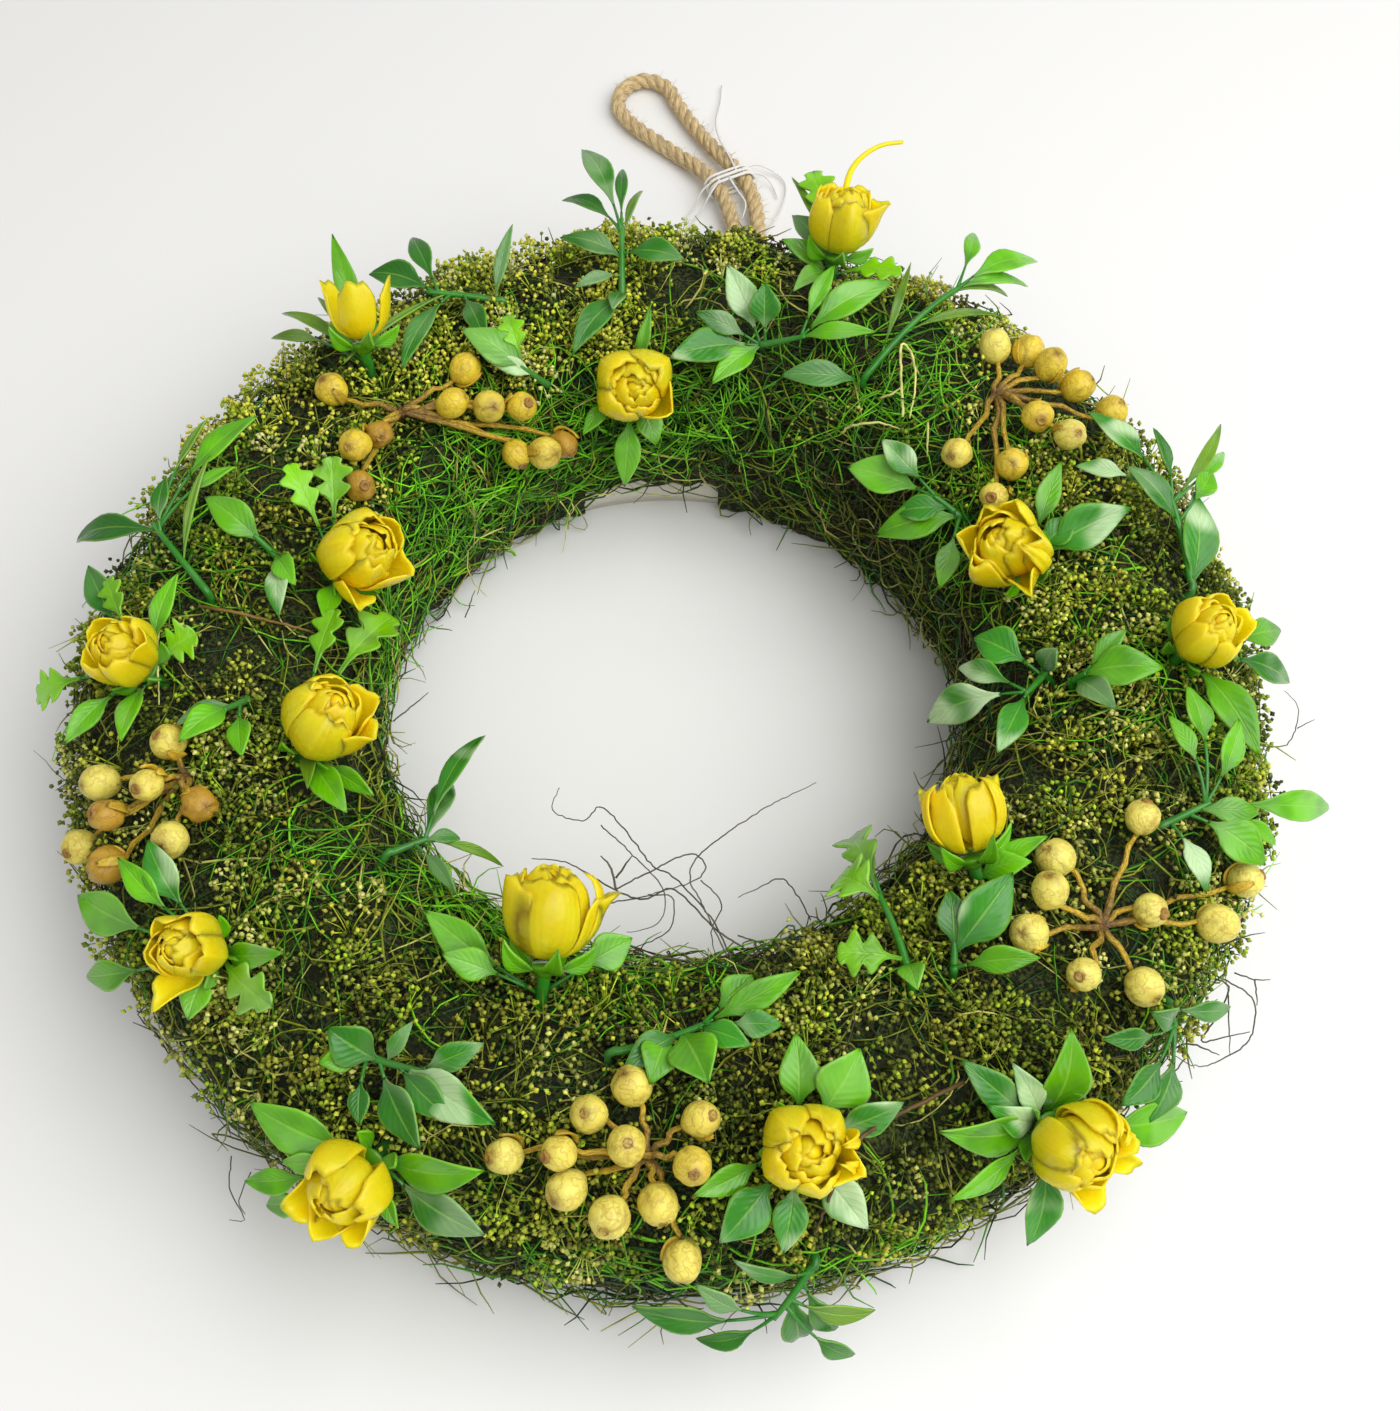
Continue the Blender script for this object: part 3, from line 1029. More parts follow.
# %% [markdown]
# ## Setting the petals
#
# The outer petals stand where their rows say. Inside them come the middle row, three inner petals
# and one petal rolled almost into a tube. A small core stands in its middle, so that no dark hole
# shows in the heart. A few roses also have a narrow petal that stands off as a loop, as some came
# out of their mould.

# %% Make the blooms
OUTER_SPREAD = 4.2
OUTER_CURL = 0.9
OUTER_SKEW = 0.3
WIDE_OPENING = 1.3
WIDE_SPREAD = 0.6
INNER_SKEW = 0.4
INNER_CURL = 0.3
LAYER_TURN = 0.5
PETAL_LAYERS = ((MIDDLE_LINES, 0.5, 0.95), (INNER_LINES, 0.3, 1.25), (HEART_LINES, 0.0, 3.5))
LOOP_LINE = ((2.4, 3.2), (6.8, 4.0), (9.4, 7.2), (9.8, 10.8), (8.6, 14.0), (5.6, 15.6))
BLOOM_SEEDS_FROM = 200
CORE_SIDES = 12
HEART_CORE = ((1.2, 5.0), (3.0, 8.0), (3.2, 11.0), (2.5, 13.4), (1.4, 14.8), (0.4, 15.4))


def bloom_space(clock, roll, lift, lean):
    """The bloom's own space: its foot on the cup, and Z up through the bud."""
    axis = Vector(unit(outward(clock, roll) + np.array((0.0, lean, 0.0))))
    foot = Matrix.Translation(Vector(ring_points(clock, roll, lift)))
    return foot @ axis.to_track_quat("Z", "Y").to_matrix().to_4x4()


def turn_towards(space, degrees):
    """The turn about the bloom's axis that points a way given in degrees from the right."""
    way = Vector((math.cos(math.radians(degrees)), math.sin(math.radians(degrees)), 0.0))
    x, y, _ = space.to_3x3().inverted() @ way
    return math.atan2(y, x)


def moved(points, matrix):
    """Points carried by a matrix."""
    matrix = np.array(matrix)
    return points @ matrix[:3, :3].T + matrix[:3, 3]


def turned(profile, sides):
    """A turned solid from (distance, height) pairs, in mm, with closed ends."""
    share = np.arange(sides) / sides * math.tau
    rings = [np.stack([r * np.cos(share), r * np.sin(share), np.full(sides, h)], axis=-1)
             for r, h in profile]
    return np.concatenate(rings), ring_faces(len(profile), sides)


def looped_petal(angle, dice):
    """A narrow petal that bulges away from the others like a loop."""
    return petal_sheet(angle, (LOOP_LINE, LOOP_LINE), opening=0, spread=0.17, skew=0.25, curl=0.2,
                       corner=0.0, dice=dice, row=0)


def make_bloom(number, row, petal_row):
    """A bloom: outer petals by their row, the layers of the bud, looped petals and the core."""
    clock, roll, size, lift, lean, _ = row
    width, bud, middle_count, corner, outer = petal_row
    dice = random.Random(BLOOM_SEEDS_FROM + number)
    space = bloom_space(clock, roll, lift, lean)
    parts = []
    for way, opening in outer:
        spread = OUTER_SPREAD / len(outer) * dice.uniform(0.92, 1.08) * SLENDER_PETALS.get(number, 1)
        spread *= 1 if opening < WIDE_OPENING else WIDE_SPREAD
        parts.append(petal_sheet(turn_towards(space, way), OUTER_LINES, opening, spread, OUTER_SKEW,
                                 OUTER_CURL * dice.uniform(0.5, 1.4), corner, dice, 0))
    first = dice.uniform(0, math.tau)
    counts = (middle_count, 3, 1)
    for layer, (count, (lines, opening, spread)) in enumerate(zip(counts, PETAL_LAYERS), start=1):
        shape = np.array(lines) * (bud, min(bud, 1.0))
        for index in range(count):
            angle = first + layer * LAYER_TURN + math.tau * index / count + dice.uniform(-0.1, 0.1)
            parts.append(petal_sheet(angle, shape, opening * dice.uniform(0.6, 1.1), spread,
                                     INNER_SKEW * bud, INNER_CURL, corner * 0.5, dice, layer))
    parts += [looped_petal(turn_towards(space, way), dice) for way in LOOPED_PETALS.get(number, ())]
    core, core_faces = turned(np.array(HEART_CORE) * (bud, min(bud, 1.0)), CORE_SIDES)
    parts.append((core, core_faces, np.tile((0.0, 0.5, 3.0), (len(core), 1))))
    points, faces, values = merge(parts)
    points = moved(points * (width, width, 1.0) * MM * size, space)
    return stored_piece(f"bloom_{number:02d}", (points, faces, values), rose_plastic, "petal",
                        "rose", f"rose_bloom_{number:02d}")


blooms = [make_bloom(number, *rows) for number, rows in enumerate(zip(ROSES, PETALS), start=1)]
print("made", len(blooms), "blooms, quads in the first:", len(blooms[0].data.polygons))

# %% [markdown]
# ## Under the blooms
#
# A rose stands on a short green stem that widens into a cup, with five small pointed sepals that
# hug the petals, and its own leaves lie round it on the moss. The cup is turned like a bowl on a
# lathe: a profile of distances from the axis, made into rings.

# %% Make the picks
CUP_PROFILE = ((1.1, -2.0), (1.6, -1.4), (2.6, -0.5), (3.1, 0.1), (2.7, 0.5), (0.8, 0.7))
PICK_STEM_RADIUS = 1.2
PICK_LEAF_LIFT = 0.4
PICK_LEAF_STEP = 0.35
PICK_LEAF_LEVELS = 3
PICK_LEAF_OFFSET = 0.5
PICK_SEEDS_FROM = 300
SEPALS = 5
SEPAL_WIDTH = 3.2


def green_values(count, shade=1.0):
    """The leaf finish's values for the points of a cup."""
    values = np.empty((count, 6))
    values[:, :3] = (0.5, 0.3, 0.05)
    values[:, 3:] = np.array(LEAF_DYES["b"]) * shade
    return values


def make_pick(number, row):
    """A rose's stem, its cup with the sepals, and its leaves."""
    clock, roll, size, lift, lean, leaves = row
    dice = random.Random(PICK_SEEDS_FROM + number)
    space = np.array(bloom_space(clock, roll, lift, lean))
    foot = moved(np.array((0, 0, -1.2)) * MM, space)
    route = np.array([ring_points(clock, roll, STEM_SUNK_LIFT), ring_points(clock, roll, -3),
                      ring_points(clock, roll, 0.5), (ring_points(clock, roll, 1.6) + foot) / 2, foot])
    parts = [stem_tube(smooth_line(route, 4), PICK_STEM_RADIUS * MM, 9, 1.5)]
    cup_points, cup_faces = turned(CUP_PROFILE, 14)
    parts.append((moved(cup_points * MM, space), cup_faces, green_values(len(cup_points), 0.8)))
    for index in range(SEPALS):
        angle = math.tau * (index + 0.5) / SEPALS
        beside = np.array((math.cos(angle), math.sin(angle), 0.0))
        ends = [beside * 1.6 + (0, 0, -0.4), beside * 5.6 * size + (0, 0, 0.9),
                beside * dice.uniform(7.6, 8.8) * size + (0, 0, dice.uniform(3.4, 5.6))]
        base, middle, tip = (moved(end * MM, space) for end in ends)
        parts.append(leaf_blade(base, middle, tip, SEPAL_WIDTH * size * MM, "b", dice))
    for index, leaf_row in enumerate(leaves):
        start = (clock, roll, PICK_LEAF_LIFT + PICK_LEAF_STEP * (index % PICK_LEAF_LEVELS))
        parts.append(leaf_from(start, leaf_row, PICK_LEAF_OFFSET, dice))
    return green_piece(f"pick_{number:02d}", parts, f"rose_pick_{number:02d}")


foliage += [make_pick(number, row) for number, row in enumerate(ROSES, start=1)]
print("leaf pieces so far:", len(foliage))

# %% [markdown]
# ## Dried berries
#
# The berries are real, about seven millimetres across, dried to pale or golden yellow, with brown
# creases that run from end to end and a small dark crown. A plain sphere would look like a bead, so
# each is a ball of rings whose radius sinks at a few seams, and the colour on its points darkens
# where it sinks. Past an age of 1 a berry is withered: browner, with deeper creases and dents.

# %% The berry and twig finishes
berry_skin, tree, shader = start_finish(
    "berry_skin", 0.42, Specular_IOR_Level=0.45, Subsurface_Weight=0.1,
    Subsurface_Radius=(1.0, 0.7, 0.2), Subsurface_Scale=0.6 * MM)
berry_dye = stored(tree, "dye")
berry_blotch = rising(tree, mottle(tree, 330, 4.0), 0.48, 0.68)
berry_web = rising(tree, sums(tree, "ABSOLUTE", sums(tree, "SUBTRACT", mottle(tree, 420, 4.0), 0.5)),
                   0.05, 0.0)
berry_aged = tinted(tree, berry_blotch, 0.45, berry_dye, colour(0.52, 0.36, 0.04))
tree.links.new(tinted(tree, berry_web, 0.3, berry_aged, colour(0.34, 0.20, 0.03)),
               shader.inputs["Base Color"])
raised(tree, shader, sums(tree, "MULTIPLY_ADD", berry_web, -0.3, mottle(tree, 900, 4.0)),
       0.35 * MM, 0.6)

twig_bark, tree, shader = start_finish("twig_bark", 0.6)
_, _, twig_gold = stored_parts(tree, "lie")
bark_grain = mottle(tree, 2.2, 3.0, squeezed(tree, "lie", (0.5, 5.0, 3.0)))
bark_colour = mixed(tree, rising(tree, bark_grain, 0.35, 0.65), colour(0.050, 0.022, 0.008),
                    colour(0.17, 0.080, 0.018))
bark_golden = mixed(tree, rising(tree, bark_grain, 0.3, 0.7), colour(0.30, 0.17, 0.010),
                    colour(0.66, 0.46, 0.03))
tree.links.new(mixed(tree, twig_gold, bark_colour, bark_golden), shader.inputs["Base Color"])
raised(tree, shader, bark_grain, 0.3 * MM)
print("finishes:", berry_skin.name, twig_bark.name)

# %% [markdown]
# ## Where the berries hang
#
# Five stalks stand in the grass, and crooked twigs spread from the top of each. Copies of one bunch
# would show at once, so each stalk has a row: its clock and roll, then the clock, roll and lift of
# every berry. The ages say how far a bunch has dried, and chance picks one for each berry.

# %% The rows of the berry stalks
BERRY_STALKS = (
    (314, 110, ((309, 87, 5), (308, 112, 5), (303, 110, 8), (299, 120, 5), (326, 110, 5),
                (321, 119, 5), (326, 127, 6), (331, 132, 8), (327, 149, 5), (332, 151, 8),
                (337, 153, 5))),
    (50, 90, ((45, 76, 5), (48, 67, 5), (52, 71, 8), (55, 62, 5), (60, 60, 6), (54, 118, 5),
              (61, 106, 5), (57, 88, 6), (62, 85, 8), (64, 118, 5))),
    (250, 80, ((253, 52, 5), (249, 34, 5), (248, 57, 9), (245, 45, 5), (254, 78, 5), (249, 71, 8),
               (245, 82, 5), (243, 70, 5))),
    (129, 74, ((116, 80, 5), (126, 97, 5), (131, 92, 8), (136, 89, 5), (125, 66, 6), (135, 70, 5),
               (131, 53, 5), (115, 36, 5), (121, 43, 6))),
    (182, 66, ((184, 86, 5), (188, 77, 5), (184, 70, 9), (190, 66, 8), (195, 61, 5), (189, 55, 5),
               (185, 50, 7), (177, 77, 5), (178, 65, 8), (181, 53, 5), (179, 34, 5))),
)
print("berries:", sum(len(row[2]) for row in BERRY_STALKS))

# %% Make the berries
BERRY_RADIUS = 3.5
BERRY_SIDES = 26
BERRY_RINGS = 15
BERRY_STALK_LIFT = 3.0
BERRY_TWIG_LIFT = 2.4
BERRY_PALE = np.array((0.80, 0.72, 0.15))
BERRY_GOLD = np.array((0.76, 0.57, 0.035))
BERRY_OCHRE = np.array((0.48, 0.27, 0.025))
BERRY_BROWN = np.array((0.19, 0.095, 0.018))
BERRY_AGES = {
    "a": (0.6, 0.8, 1.0, 1.1), "b": (0.1, 0.3, 0.5, 0.9), "c": (0.0, 0.1, 0.3, 1.1),
    "d": (0.0, 0.1, 0.2, 0.4), "e": (0.1, 0.3, 0.4, 0.7),
}
FRESH_DEPTHS = (0.07, 0.022)
WITHERED_DEPTHS = (0.16, 0.05)
CREASE_WIDTH = 0.12
CROWN_PROFILE = ((1.3, -0.5), (1.15, 0.1), (0.85, 0.5), (0.5, 0.2), (0.2, -0.1))


def space_along(axis, centre, turn):
    """A space whose Z runs along an axis, turned about it."""
    aim = Vector(axis).to_track_quat("Z", "Y").to_matrix().to_4x4()
    return Matrix.Translation(Vector(centre)) @ aim @ Matrix.Rotation(turn, 4, "Z")


def berry_ball(centre, axis, age, dice):
    """A creased ball with a crown, and the colour of each of its points."""
    withered = age > 1
    crease_depth, dent_depth = WITHERED_DEPTHS if withered else FRESH_DEPTHS
    polar = np.linspace(0.05, math.pi - 0.05, BERRY_RINGS)[:, None]
    around = (np.arange(BERRY_SIDES) / BERRY_SIDES * math.tau)[None, :]
    crease = np.zeros((BERRY_RINGS, BERRY_SIDES))
    for _ in range(dice.randint(6, 8) if withered else dice.randint(2, 4)):
        seam = dice.uniform(0, math.tau) + dice.uniform(0.1, 0.4) * np.sin(dice.uniform(2, 4) * polar)
        apart = (around - seam + math.pi) % math.tau - math.pi
        fading = np.clip(1.2 * np.sin(polar + dice.uniform(-0.9, 0.9)), 0, 1)
        cut = dice.uniform(0.3, 0.9) * np.exp(-(apart / CREASE_WIDTH) ** 2) * fading
        crease = np.maximum(crease, cut)
    crease = crease * np.sin(polar) ** 0.4
    dimple = np.exp(-(polar / 0.3) ** 2)
    dents = sum(dent_depth * np.sin(waves * around + dice.uniform(0, 6))
                * np.sin(waves * polar + dice.uniform(0, 6)) for waves in (1, 2, 3, 4))
    radius = BERRY_RADIUS * dice.uniform(0.86, 1.05) * (
        1 - crease_depth * crease - 0.1 * dimple + dents)
    ring = np.stack([radius * np.sin(polar) * np.cos(around), radius * np.sin(polar) * np.sin(around),
                     radius * np.cos(polar) * dice.uniform(1.0, 1.22)], axis=-1)
    faces = ring_faces(BERRY_RINGS, BERRY_SIDES, downwards=True)
    space = space_along(axis, centre, dice.uniform(0, math.tau))
    body = BERRY_OCHRE if withered else BERRY_PALE * (1 - age) + BERRY_GOLD * age
    ends = 0.55 * np.clip(np.abs(np.cos(polar)) * 2.2 - 1.35, 0, 1)
    dark = np.clip(crease * 0.7 + dimple * 0.6 + ends * dice.uniform(0.2, 1.0), 0, 1)[..., None]
    dye = (body * (1 - dark) + BERRY_BROWN * dark).reshape(-1, 3)
    crown, crown_faces = turned(CROWN_PROFILE, 9)
    crown[:, 2] += BERRY_RADIUS * 0.9
    ball = (moved(ring.reshape(-1, 3) * MM, space), faces, dye)
    top = (moved(crown * MM, space), crown_faces, np.tile(BERRY_BROWN * 1.6, (len(crown), 1)))
    return merge([ball, top])


HUSK_ROWS = 9
HUSK_COLUMNS = 5
HUSK_THICKNESS = 0.45
HUSK_DYE = np.array((0.62, 0.42, 0.03))


def husk(centre, axis, dice):
    """A papery strip left round a berry, from its stalk towards its crown."""
    polar = np.linspace(math.pi - 0.15, dice.uniform(0.9, 1.6), HUSK_ROWS)[:, None]
    side = np.linspace(-1, 1, HUSK_COLUMNS)[None, :]
    narrowing = np.sin(np.linspace(0.5, math.pi - 0.3, HUSK_ROWS))[:, None]
    swing = side * dice.uniform(0.28, 0.42) * narrowing
    radius = BERRY_RADIUS * 1.04 + 0.5 * side ** 2 + 0.2 * np.sin(3 * polar)
    grid = np.stack([radius * np.sin(polar) * np.cos(swing), radius * np.sin(polar) * np.sin(swing),
                     radius * np.cos(polar) * np.ones_like(side)], axis=-1)
    space = space_along(axis, centre, dice.uniform(0, math.tau))
    tone = dice.uniform(0.6, 1.2)
    dye = np.broadcast_to(HUSK_DYE * tone, grid.shape)
    points, faces, values = closed_sheet(grid, HUSK_THICKNESS, dye)
    return moved(points * MM, space), faces, values


TWIG_KINKS = np.array((0, 0.2, 0.42, 0.6, 0.8, 1.0))
TWIG_STRAY = 0.9
TWIG_ARCH = 0.8
TWIG_STEP = 0.9
TWIG_KNOBS = 0.22
TWIG_SIDES = 7
BERRY_STALK_RADIUS = 1.15


def crooked_twig(start, end, dice, golden):
    """A knobbly twig with a few kinks between two points."""
    line = start + (end - start) * TWIG_KINKS[:, None]
    kinks = np.array([[dice.uniform(-1, 1) for _ in range(3)] for _ in TWIG_KINKS]) * TWIG_STRAY * MM
    kinks[[0, -1]] = 0
    kinks[1:-1, 2] += TWIG_ARCH * MM
    path = evenly(line + kinks, TWIG_STEP * MM)
    share = np.linspace(0, 1, len(path))
    at_kinks = np.exp(-((share[:, None] - TWIG_KINKS[1:-1]) / 0.035) ** 2).sum(axis=1)
    knobs = 1 + TWIG_KNOBS * at_kinks
    gold = np.clip(share * 2 * golden, 0, 1)[:, None]
    return tube(path, (0.66 - 0.22 * share) * knobs * MM, TWIG_SIDES, gold)


def make_berries(letter, row):
    """A bunch of berries with its husks, and the stalk and twigs that carry it."""
    clock, roll, berries = row
    dice = random.Random(f"berries {letter}")
    balls, twigs = [], []
    foot = ring_points(clock, roll, BERRY_TWIG_LIFT)
    stalk = smooth_line(ring_points(clock, roll, np.array((STEM_SUNK_LIFT, -2, BERRY_STALK_LIFT))), 3)
    twigs.append(tube(stalk, BERRY_STALK_RADIUS * MM, 8, 0.0))
    for berry_clock, berry_roll, lift in berries:
        centre = ring_points(berry_clock, berry_roll, lift - 0.4)
        tilt = np.array([dice.uniform(-0.5, 0.5) for _ in range(3)])
        axis = unit(unit(centre - foot) * 0.6 + outward(berry_clock, berry_roll) * 0.7 + tilt)
        age = dice.choice(BERRY_AGES[letter])
        balls.append(berry_ball(centre, axis, age, dice))
        for _ in range(dice.choice((0, 1, 1, 2))):
            balls.append(husk(centre, axis, dice))
        joint = centre - axis * 0.9 * BERRY_RADIUS * MM
        twigs.append(crooked_twig(foot, joint, dice, dice.uniform(0.5, 1.3)))
    node = f"berries_{letter}"
    bunch = stored_piece(f"berry_bunch_{letter}", merge(balls), berry_skin, "dye", "berry", node)
    stems = stored_piece(f"berry_twigs_{letter}", merge(twigs), twig_bark, "lie", "berry", node)
    return [bunch, stems]


berry_pieces = []
for letter, row in zip("abcde", BERRY_STALKS):
    berry_pieces += make_berries(letter, row)
print("berry pieces:", len(berry_pieces))

# %% [markdown]
# ## The foam ring
#
# The pale base inside the grass shows at one place, at the top edge of the hole, and from the back.
# It is pressed foam with a flat back. A half-round profile is turned about the ring's centre in
# small steps, so its edge is smooth where it shows.

# %% Turn the foam ring
def wrapped_corners(rows, columns):
    """The corners of the quads of a grid that closes on itself both ways."""
    index = np.arange(rows * columns).reshape(rows, columns)
    beyond = np.roll(index, -1, 0)
    return [index, np.roll(index, -1, 1), np.roll(beyond, -1, 1), beyond]


foam, tree, shader = start_finish("foam", 0.75)
foam_cell = add(tree, "ShaderNodeTexVoronoi", {
    "Vector": add(tree, "ShaderNodeTexCoord").outputs["Object"], "Scale": 700.0}).outputs["Distance"]
foam_stain = mottle(tree, 45, 3.0)
tree.links.new(tinted(tree, foam_stain, 0.5, colour(0.80, 0.77, 0.68), colour(0.62, 0.58, 0.44)),
               shader.inputs["Base Color"])
raised(tree, shader, foam_cell, 0.3 * MM, 0.5)

FOAM_HALF_WIDTH = 25.0
FOAM_HEIGHT = 30.0
FOAM_STEPS = 96

arc = np.linspace(0, math.pi, 25)
flat_back = np.linspace(-0.92, 0.92, 9)
out = np.concatenate([FOAM_HALF_WIDTH * np.cos(arc), FOAM_HALF_WIDTH * flat_back])
high = np.concatenate([FOAM_HEIGHT * np.sin(arc), np.zeros(len(flat_back))])
turn = np.arange(FOAM_STEPS) / FOAM_STEPS * math.tau
reach = (RING_RADIUS + out)[None, :]
foam_grid = np.stack([reach * np.sin(turn)[:, None], reach * np.cos(turn)[:, None],
                      np.broadcast_to(high, (FOAM_STEPS, len(high)))], axis=-1)
quads = np.stack(flipped(wrapped_corners(FOAM_STEPS, len(high))), axis=-1)
foam_ring = make_piece("foam_ring", foam_grid.reshape(-1, 3) * MM + RING_CENTRE,
                       quads.reshape(-1, 4).tolist(), foam)
belongs(foam_ring, "foam", "base_ring")
print("foam ring quads:", len(foam_ring.data.polygons))

# %% [markdown]
# ## The dark under the grass
#
# Between the grass stems one looks into the wrap, which is matted and nearly black. A lumpy skin
# just below the stems closes the view. It is the ring's own formula on a fine grid, sunk a little
# and roughened with sines. Where the foam lies bare, it dips inside the foam.

# %% Make the matted underlayer
underlayer, tree, shader = start_finish("matted_underlayer", 0.95)
mat_grain = mottle(tree, 1300, 4.0)
mat_tone = mixed(tree, rising(tree, mat_grain, 0.42, 0.62), colour(0.003, 0.005, 0.001),
                 colour(0.060, 0.085, 0.008))
tree.links.new(mixed(tree, rising(tree, mottle(tree, 150, 2.0), 0.5, 0.7), mat_tone,
                     colour(0.016, 0.020, 0.004)), shader.inputs["Base Color"])
raised(tree, shader, mat_grain, 1.0 * MM)

UNDER_LIFT = -3.0
UNDER_ROUGHNESS = 0.9
DIP_LIFT = -11.0
BARE_X = (-19.0, 11.0)
BARE_Y = (50.0, 71.0)
BARE_TOP = 10.0


def in_bare_place(points):
    """Which points lie in the place where the foam shows."""
    x, y, z = np.moveaxis((points - RING_CENTRE) / MM, -1, 0)
    return (x > BARE_X[0]) & (x < BARE_X[1]) & (y > BARE_Y[0]) & (y < BARE_Y[1]) & (z < BARE_TOP)


clock, roll = np.meshgrid(np.arange(0, 360, 1.5), np.arange(0, 360, 6.0), indexing="ij")
rough = (np.sin(0.31 * clock + 0.13 * roll) + np.sin(0.71 * clock - 0.22 * roll + 1.3)
         + np.sin(1.9 * clock + 0.37 * roll) * np.sin(0.9 * clock - 0.51 * roll))
dips = in_bare_place(ring_points(clock, roll, UNDER_LIFT))
under_lift = np.where(dips, DIP_LIFT, UNDER_LIFT + UNDER_ROUGHNESS * rough / 2)
under_grid = ring_points(clock, roll, under_lift)
quads = np.stack(wrapped_corners(*clock.shape), axis=-1).reshape(-1, 4)
grass_underlayer = make_piece("grass_underlayer", under_grid.reshape(-1, 3), quads.tolist(),
                              underlayer)
belongs(grass_underlayer, "grass", "grass_wrap")
print("underlayer quads:", len(quads))

# %% [markdown]
# ## What the grass must not bury
#
# Leaves, roses and berries lie on top of the grass. Before any grass is grown, all their faces go
# into one search tree. From a point in the grass a line is sent inwards to the foam: where it meets
# a leaf, that point would lie over the leaf.

# %% Find what lies over the foliage
def search_tree(items):
    """One tree of all the faces of some pieces."""
    points, faces, offset = [], [], 0
    for item in items:
        points += [tuple(vert.co) for vert in item.data.vertices]
        faces += [[offset + index for index in face.vertices] for face in item.data.polygons]
        offset += len(item.data.vertices)
    return BVHTree.FromPolygons(points, faces)


foliage_tree = search_tree(foliage + blooms + berry_pieces + [hanging_twine])


def covers_foliage(points, inwards, depth):
    """Which points lie over a leaf, petal or berry within a depth in mm, or too near one."""
    covers = np.zeros(len(points), bool)
    depth = np.broadcast_to(depth, len(points))
    for number, (point, direction) in enumerate(zip(points, inwards)):
        spot = Vector(point)
        if foliage_tree.ray_cast(spot, Vector(direction), max(depth[number], 0.2) * MM)[0] is not None:
            covers[number] = True
        elif foliage_tree.find_nearest(spot, 0.5 * MM)[0] is not None:
            covers[number] = True
    return covers


print("faces in the search tree:", sum(len(item.data.polygons) for item in foliage + blooms))

# %% [markdown]
# ## Dyed grass
#
# The grass is stiff, curly and thin, half a millimetre thick, dyed green but unevenly: fresh green
# where it is new, brown and straw where the dye missed. Every stem keeps its own dye on its points,
# and the finish only adds a little change along it.

# %% The grass finish
dyed_grass, tree, shader = start_finish("dyed_grass", 0.5, Specular_IOR_Level=0.4)
grass_change = mottle(tree, 260, 2.0)
grass_dark = mixed(tree, 0.5, stored(tree, "dye"), colour(0.008, 0.012, 0.003))
tree.links.new(mixed(tree, rising(tree, grass_change, 0.3, 0.62), grass_dark, stored(tree, "dye")),
               shader.inputs["Base Color"])
raised(tree, shader, mottle(tree, 2600, 2.0), 0.12 * MM)
print("finish:", dyed_grass.name)

# %% [markdown]
# ## How a stem creeps
#
# A grass stem starts in the wrap, creeps over it in a curl, and dives back in, or ends free above
# it. Where it would lie on a leaf or a petal, it ducks under it. Growing them with hair would be
# quick, but hair doesn't survive the export. So a few numbers describe a stem: where it starts, its
# heading on the ring, its length and how strongly it curls. Arrays move all stems forward together,
# step by step.

# %% Let stems creep over the ring
SECTION_RADIUS = 28.0
WRAP_CLEAR_LIFT = 1.5
UNDER_LEAF_LIFT = -1.5
GRASS_STEPS = 7


def creep(clock, roll, heading, length, curl, wiggle, steps, chance):
    """Clocks and rolls of the points of stems that creep over the ring."""
    clocks, rolls = [clock], [roll]
    stride = length / (steps - 1)
    for _ in range(steps - 1):
        heading = heading + curl * stride + chance.normal(0, wiggle, len(clock))
        width = RING_RADIUS + MOSS_HALF_WIDTH * np.cos(np.radians(rolls[-1]))
        clocks.append(clocks[-1] + np.degrees(stride * np.cos(heading) / width))
        rolls.append(rolls[-1] + np.degrees(stride * np.sin(heading) / SECTION_RADIUS))
    return np.stack(clocks, axis=1), np.stack(rolls, axis=1)


def patch_share(clock, roll, patches):
    """How strongly places belong to soft-edged patches of (clock, roll, half widths)."""
    share = np.zeros(np.shape(clock))
    for middle_clock, middle_roll, wide, high in patches:
        apart = (clock - middle_clock + 180) % 360 - 180
        share = np.maximum(share, np.exp(-(apart / wide) ** 2 - ((roll - middle_roll) / high) ** 2))
    return share


FRESH_PATCHES = ((322, 165, 42, 38), (280, 60, 12, 30), (50, 112, 38, 26), (98, 72, 9, 24),
                 (0, 148, 30, 26), (205, 150, 26, 30), (110, 20, 18, 24), (236, 100, 10, 16),
                 (180, 20, 24, 14))
DARK_PATCHES = ((48, 172, 38, 30), (90, 185, 40, 25), (180, -5, 60, 18), (255, 10, 30, 20),
                (20, 130, 16, 20))
GRASS_DYES = {
    "fresh": (0.200, 0.660, 0.006),
    "green": (0.085, 0.340, 0.006),
    "deep": (0.014, 0.080, 0.005),
    "olive": (0.270, 0.330, 0.016),
    "straw": (0.640, 0.620, 0.150),
    "brown": (0.070, 0.048, 0.010),
}


def dye_for(fresh, dark, mix, chance):
    """Dyes for stems, from how fresh and how dark their patch is."""
    names = list(GRASS_DYES)
    weights = np.stack([mix["fresh"] * fresh, mix["green"] * (0.22 + 0.78 * fresh),
                        mix["deep"] * (0.5 + dark), mix["olive"] * (1 - 0.7 * fresh),
                        mix["straw"] * (1 - 0.7 * dark), mix["brown"] * (0.6 + 0.6 * dark)], axis=1)
    weights = np.cumsum(weights / weights.sum(axis=1, keepdims=True), axis=1)
    picked = (chance.random(len(fresh))[:, None] > weights).sum(axis=1).clip(0, len(names) - 1)
    table = np.array([GRASS_DYES[name] for name in names])
    return table[picked] * chance.uniform(0.65, 1.25, len(fresh))[:, None] * (1 - 0.45 * dark[:, None])


print("dyes:", ", ".join(GRASS_DYES))

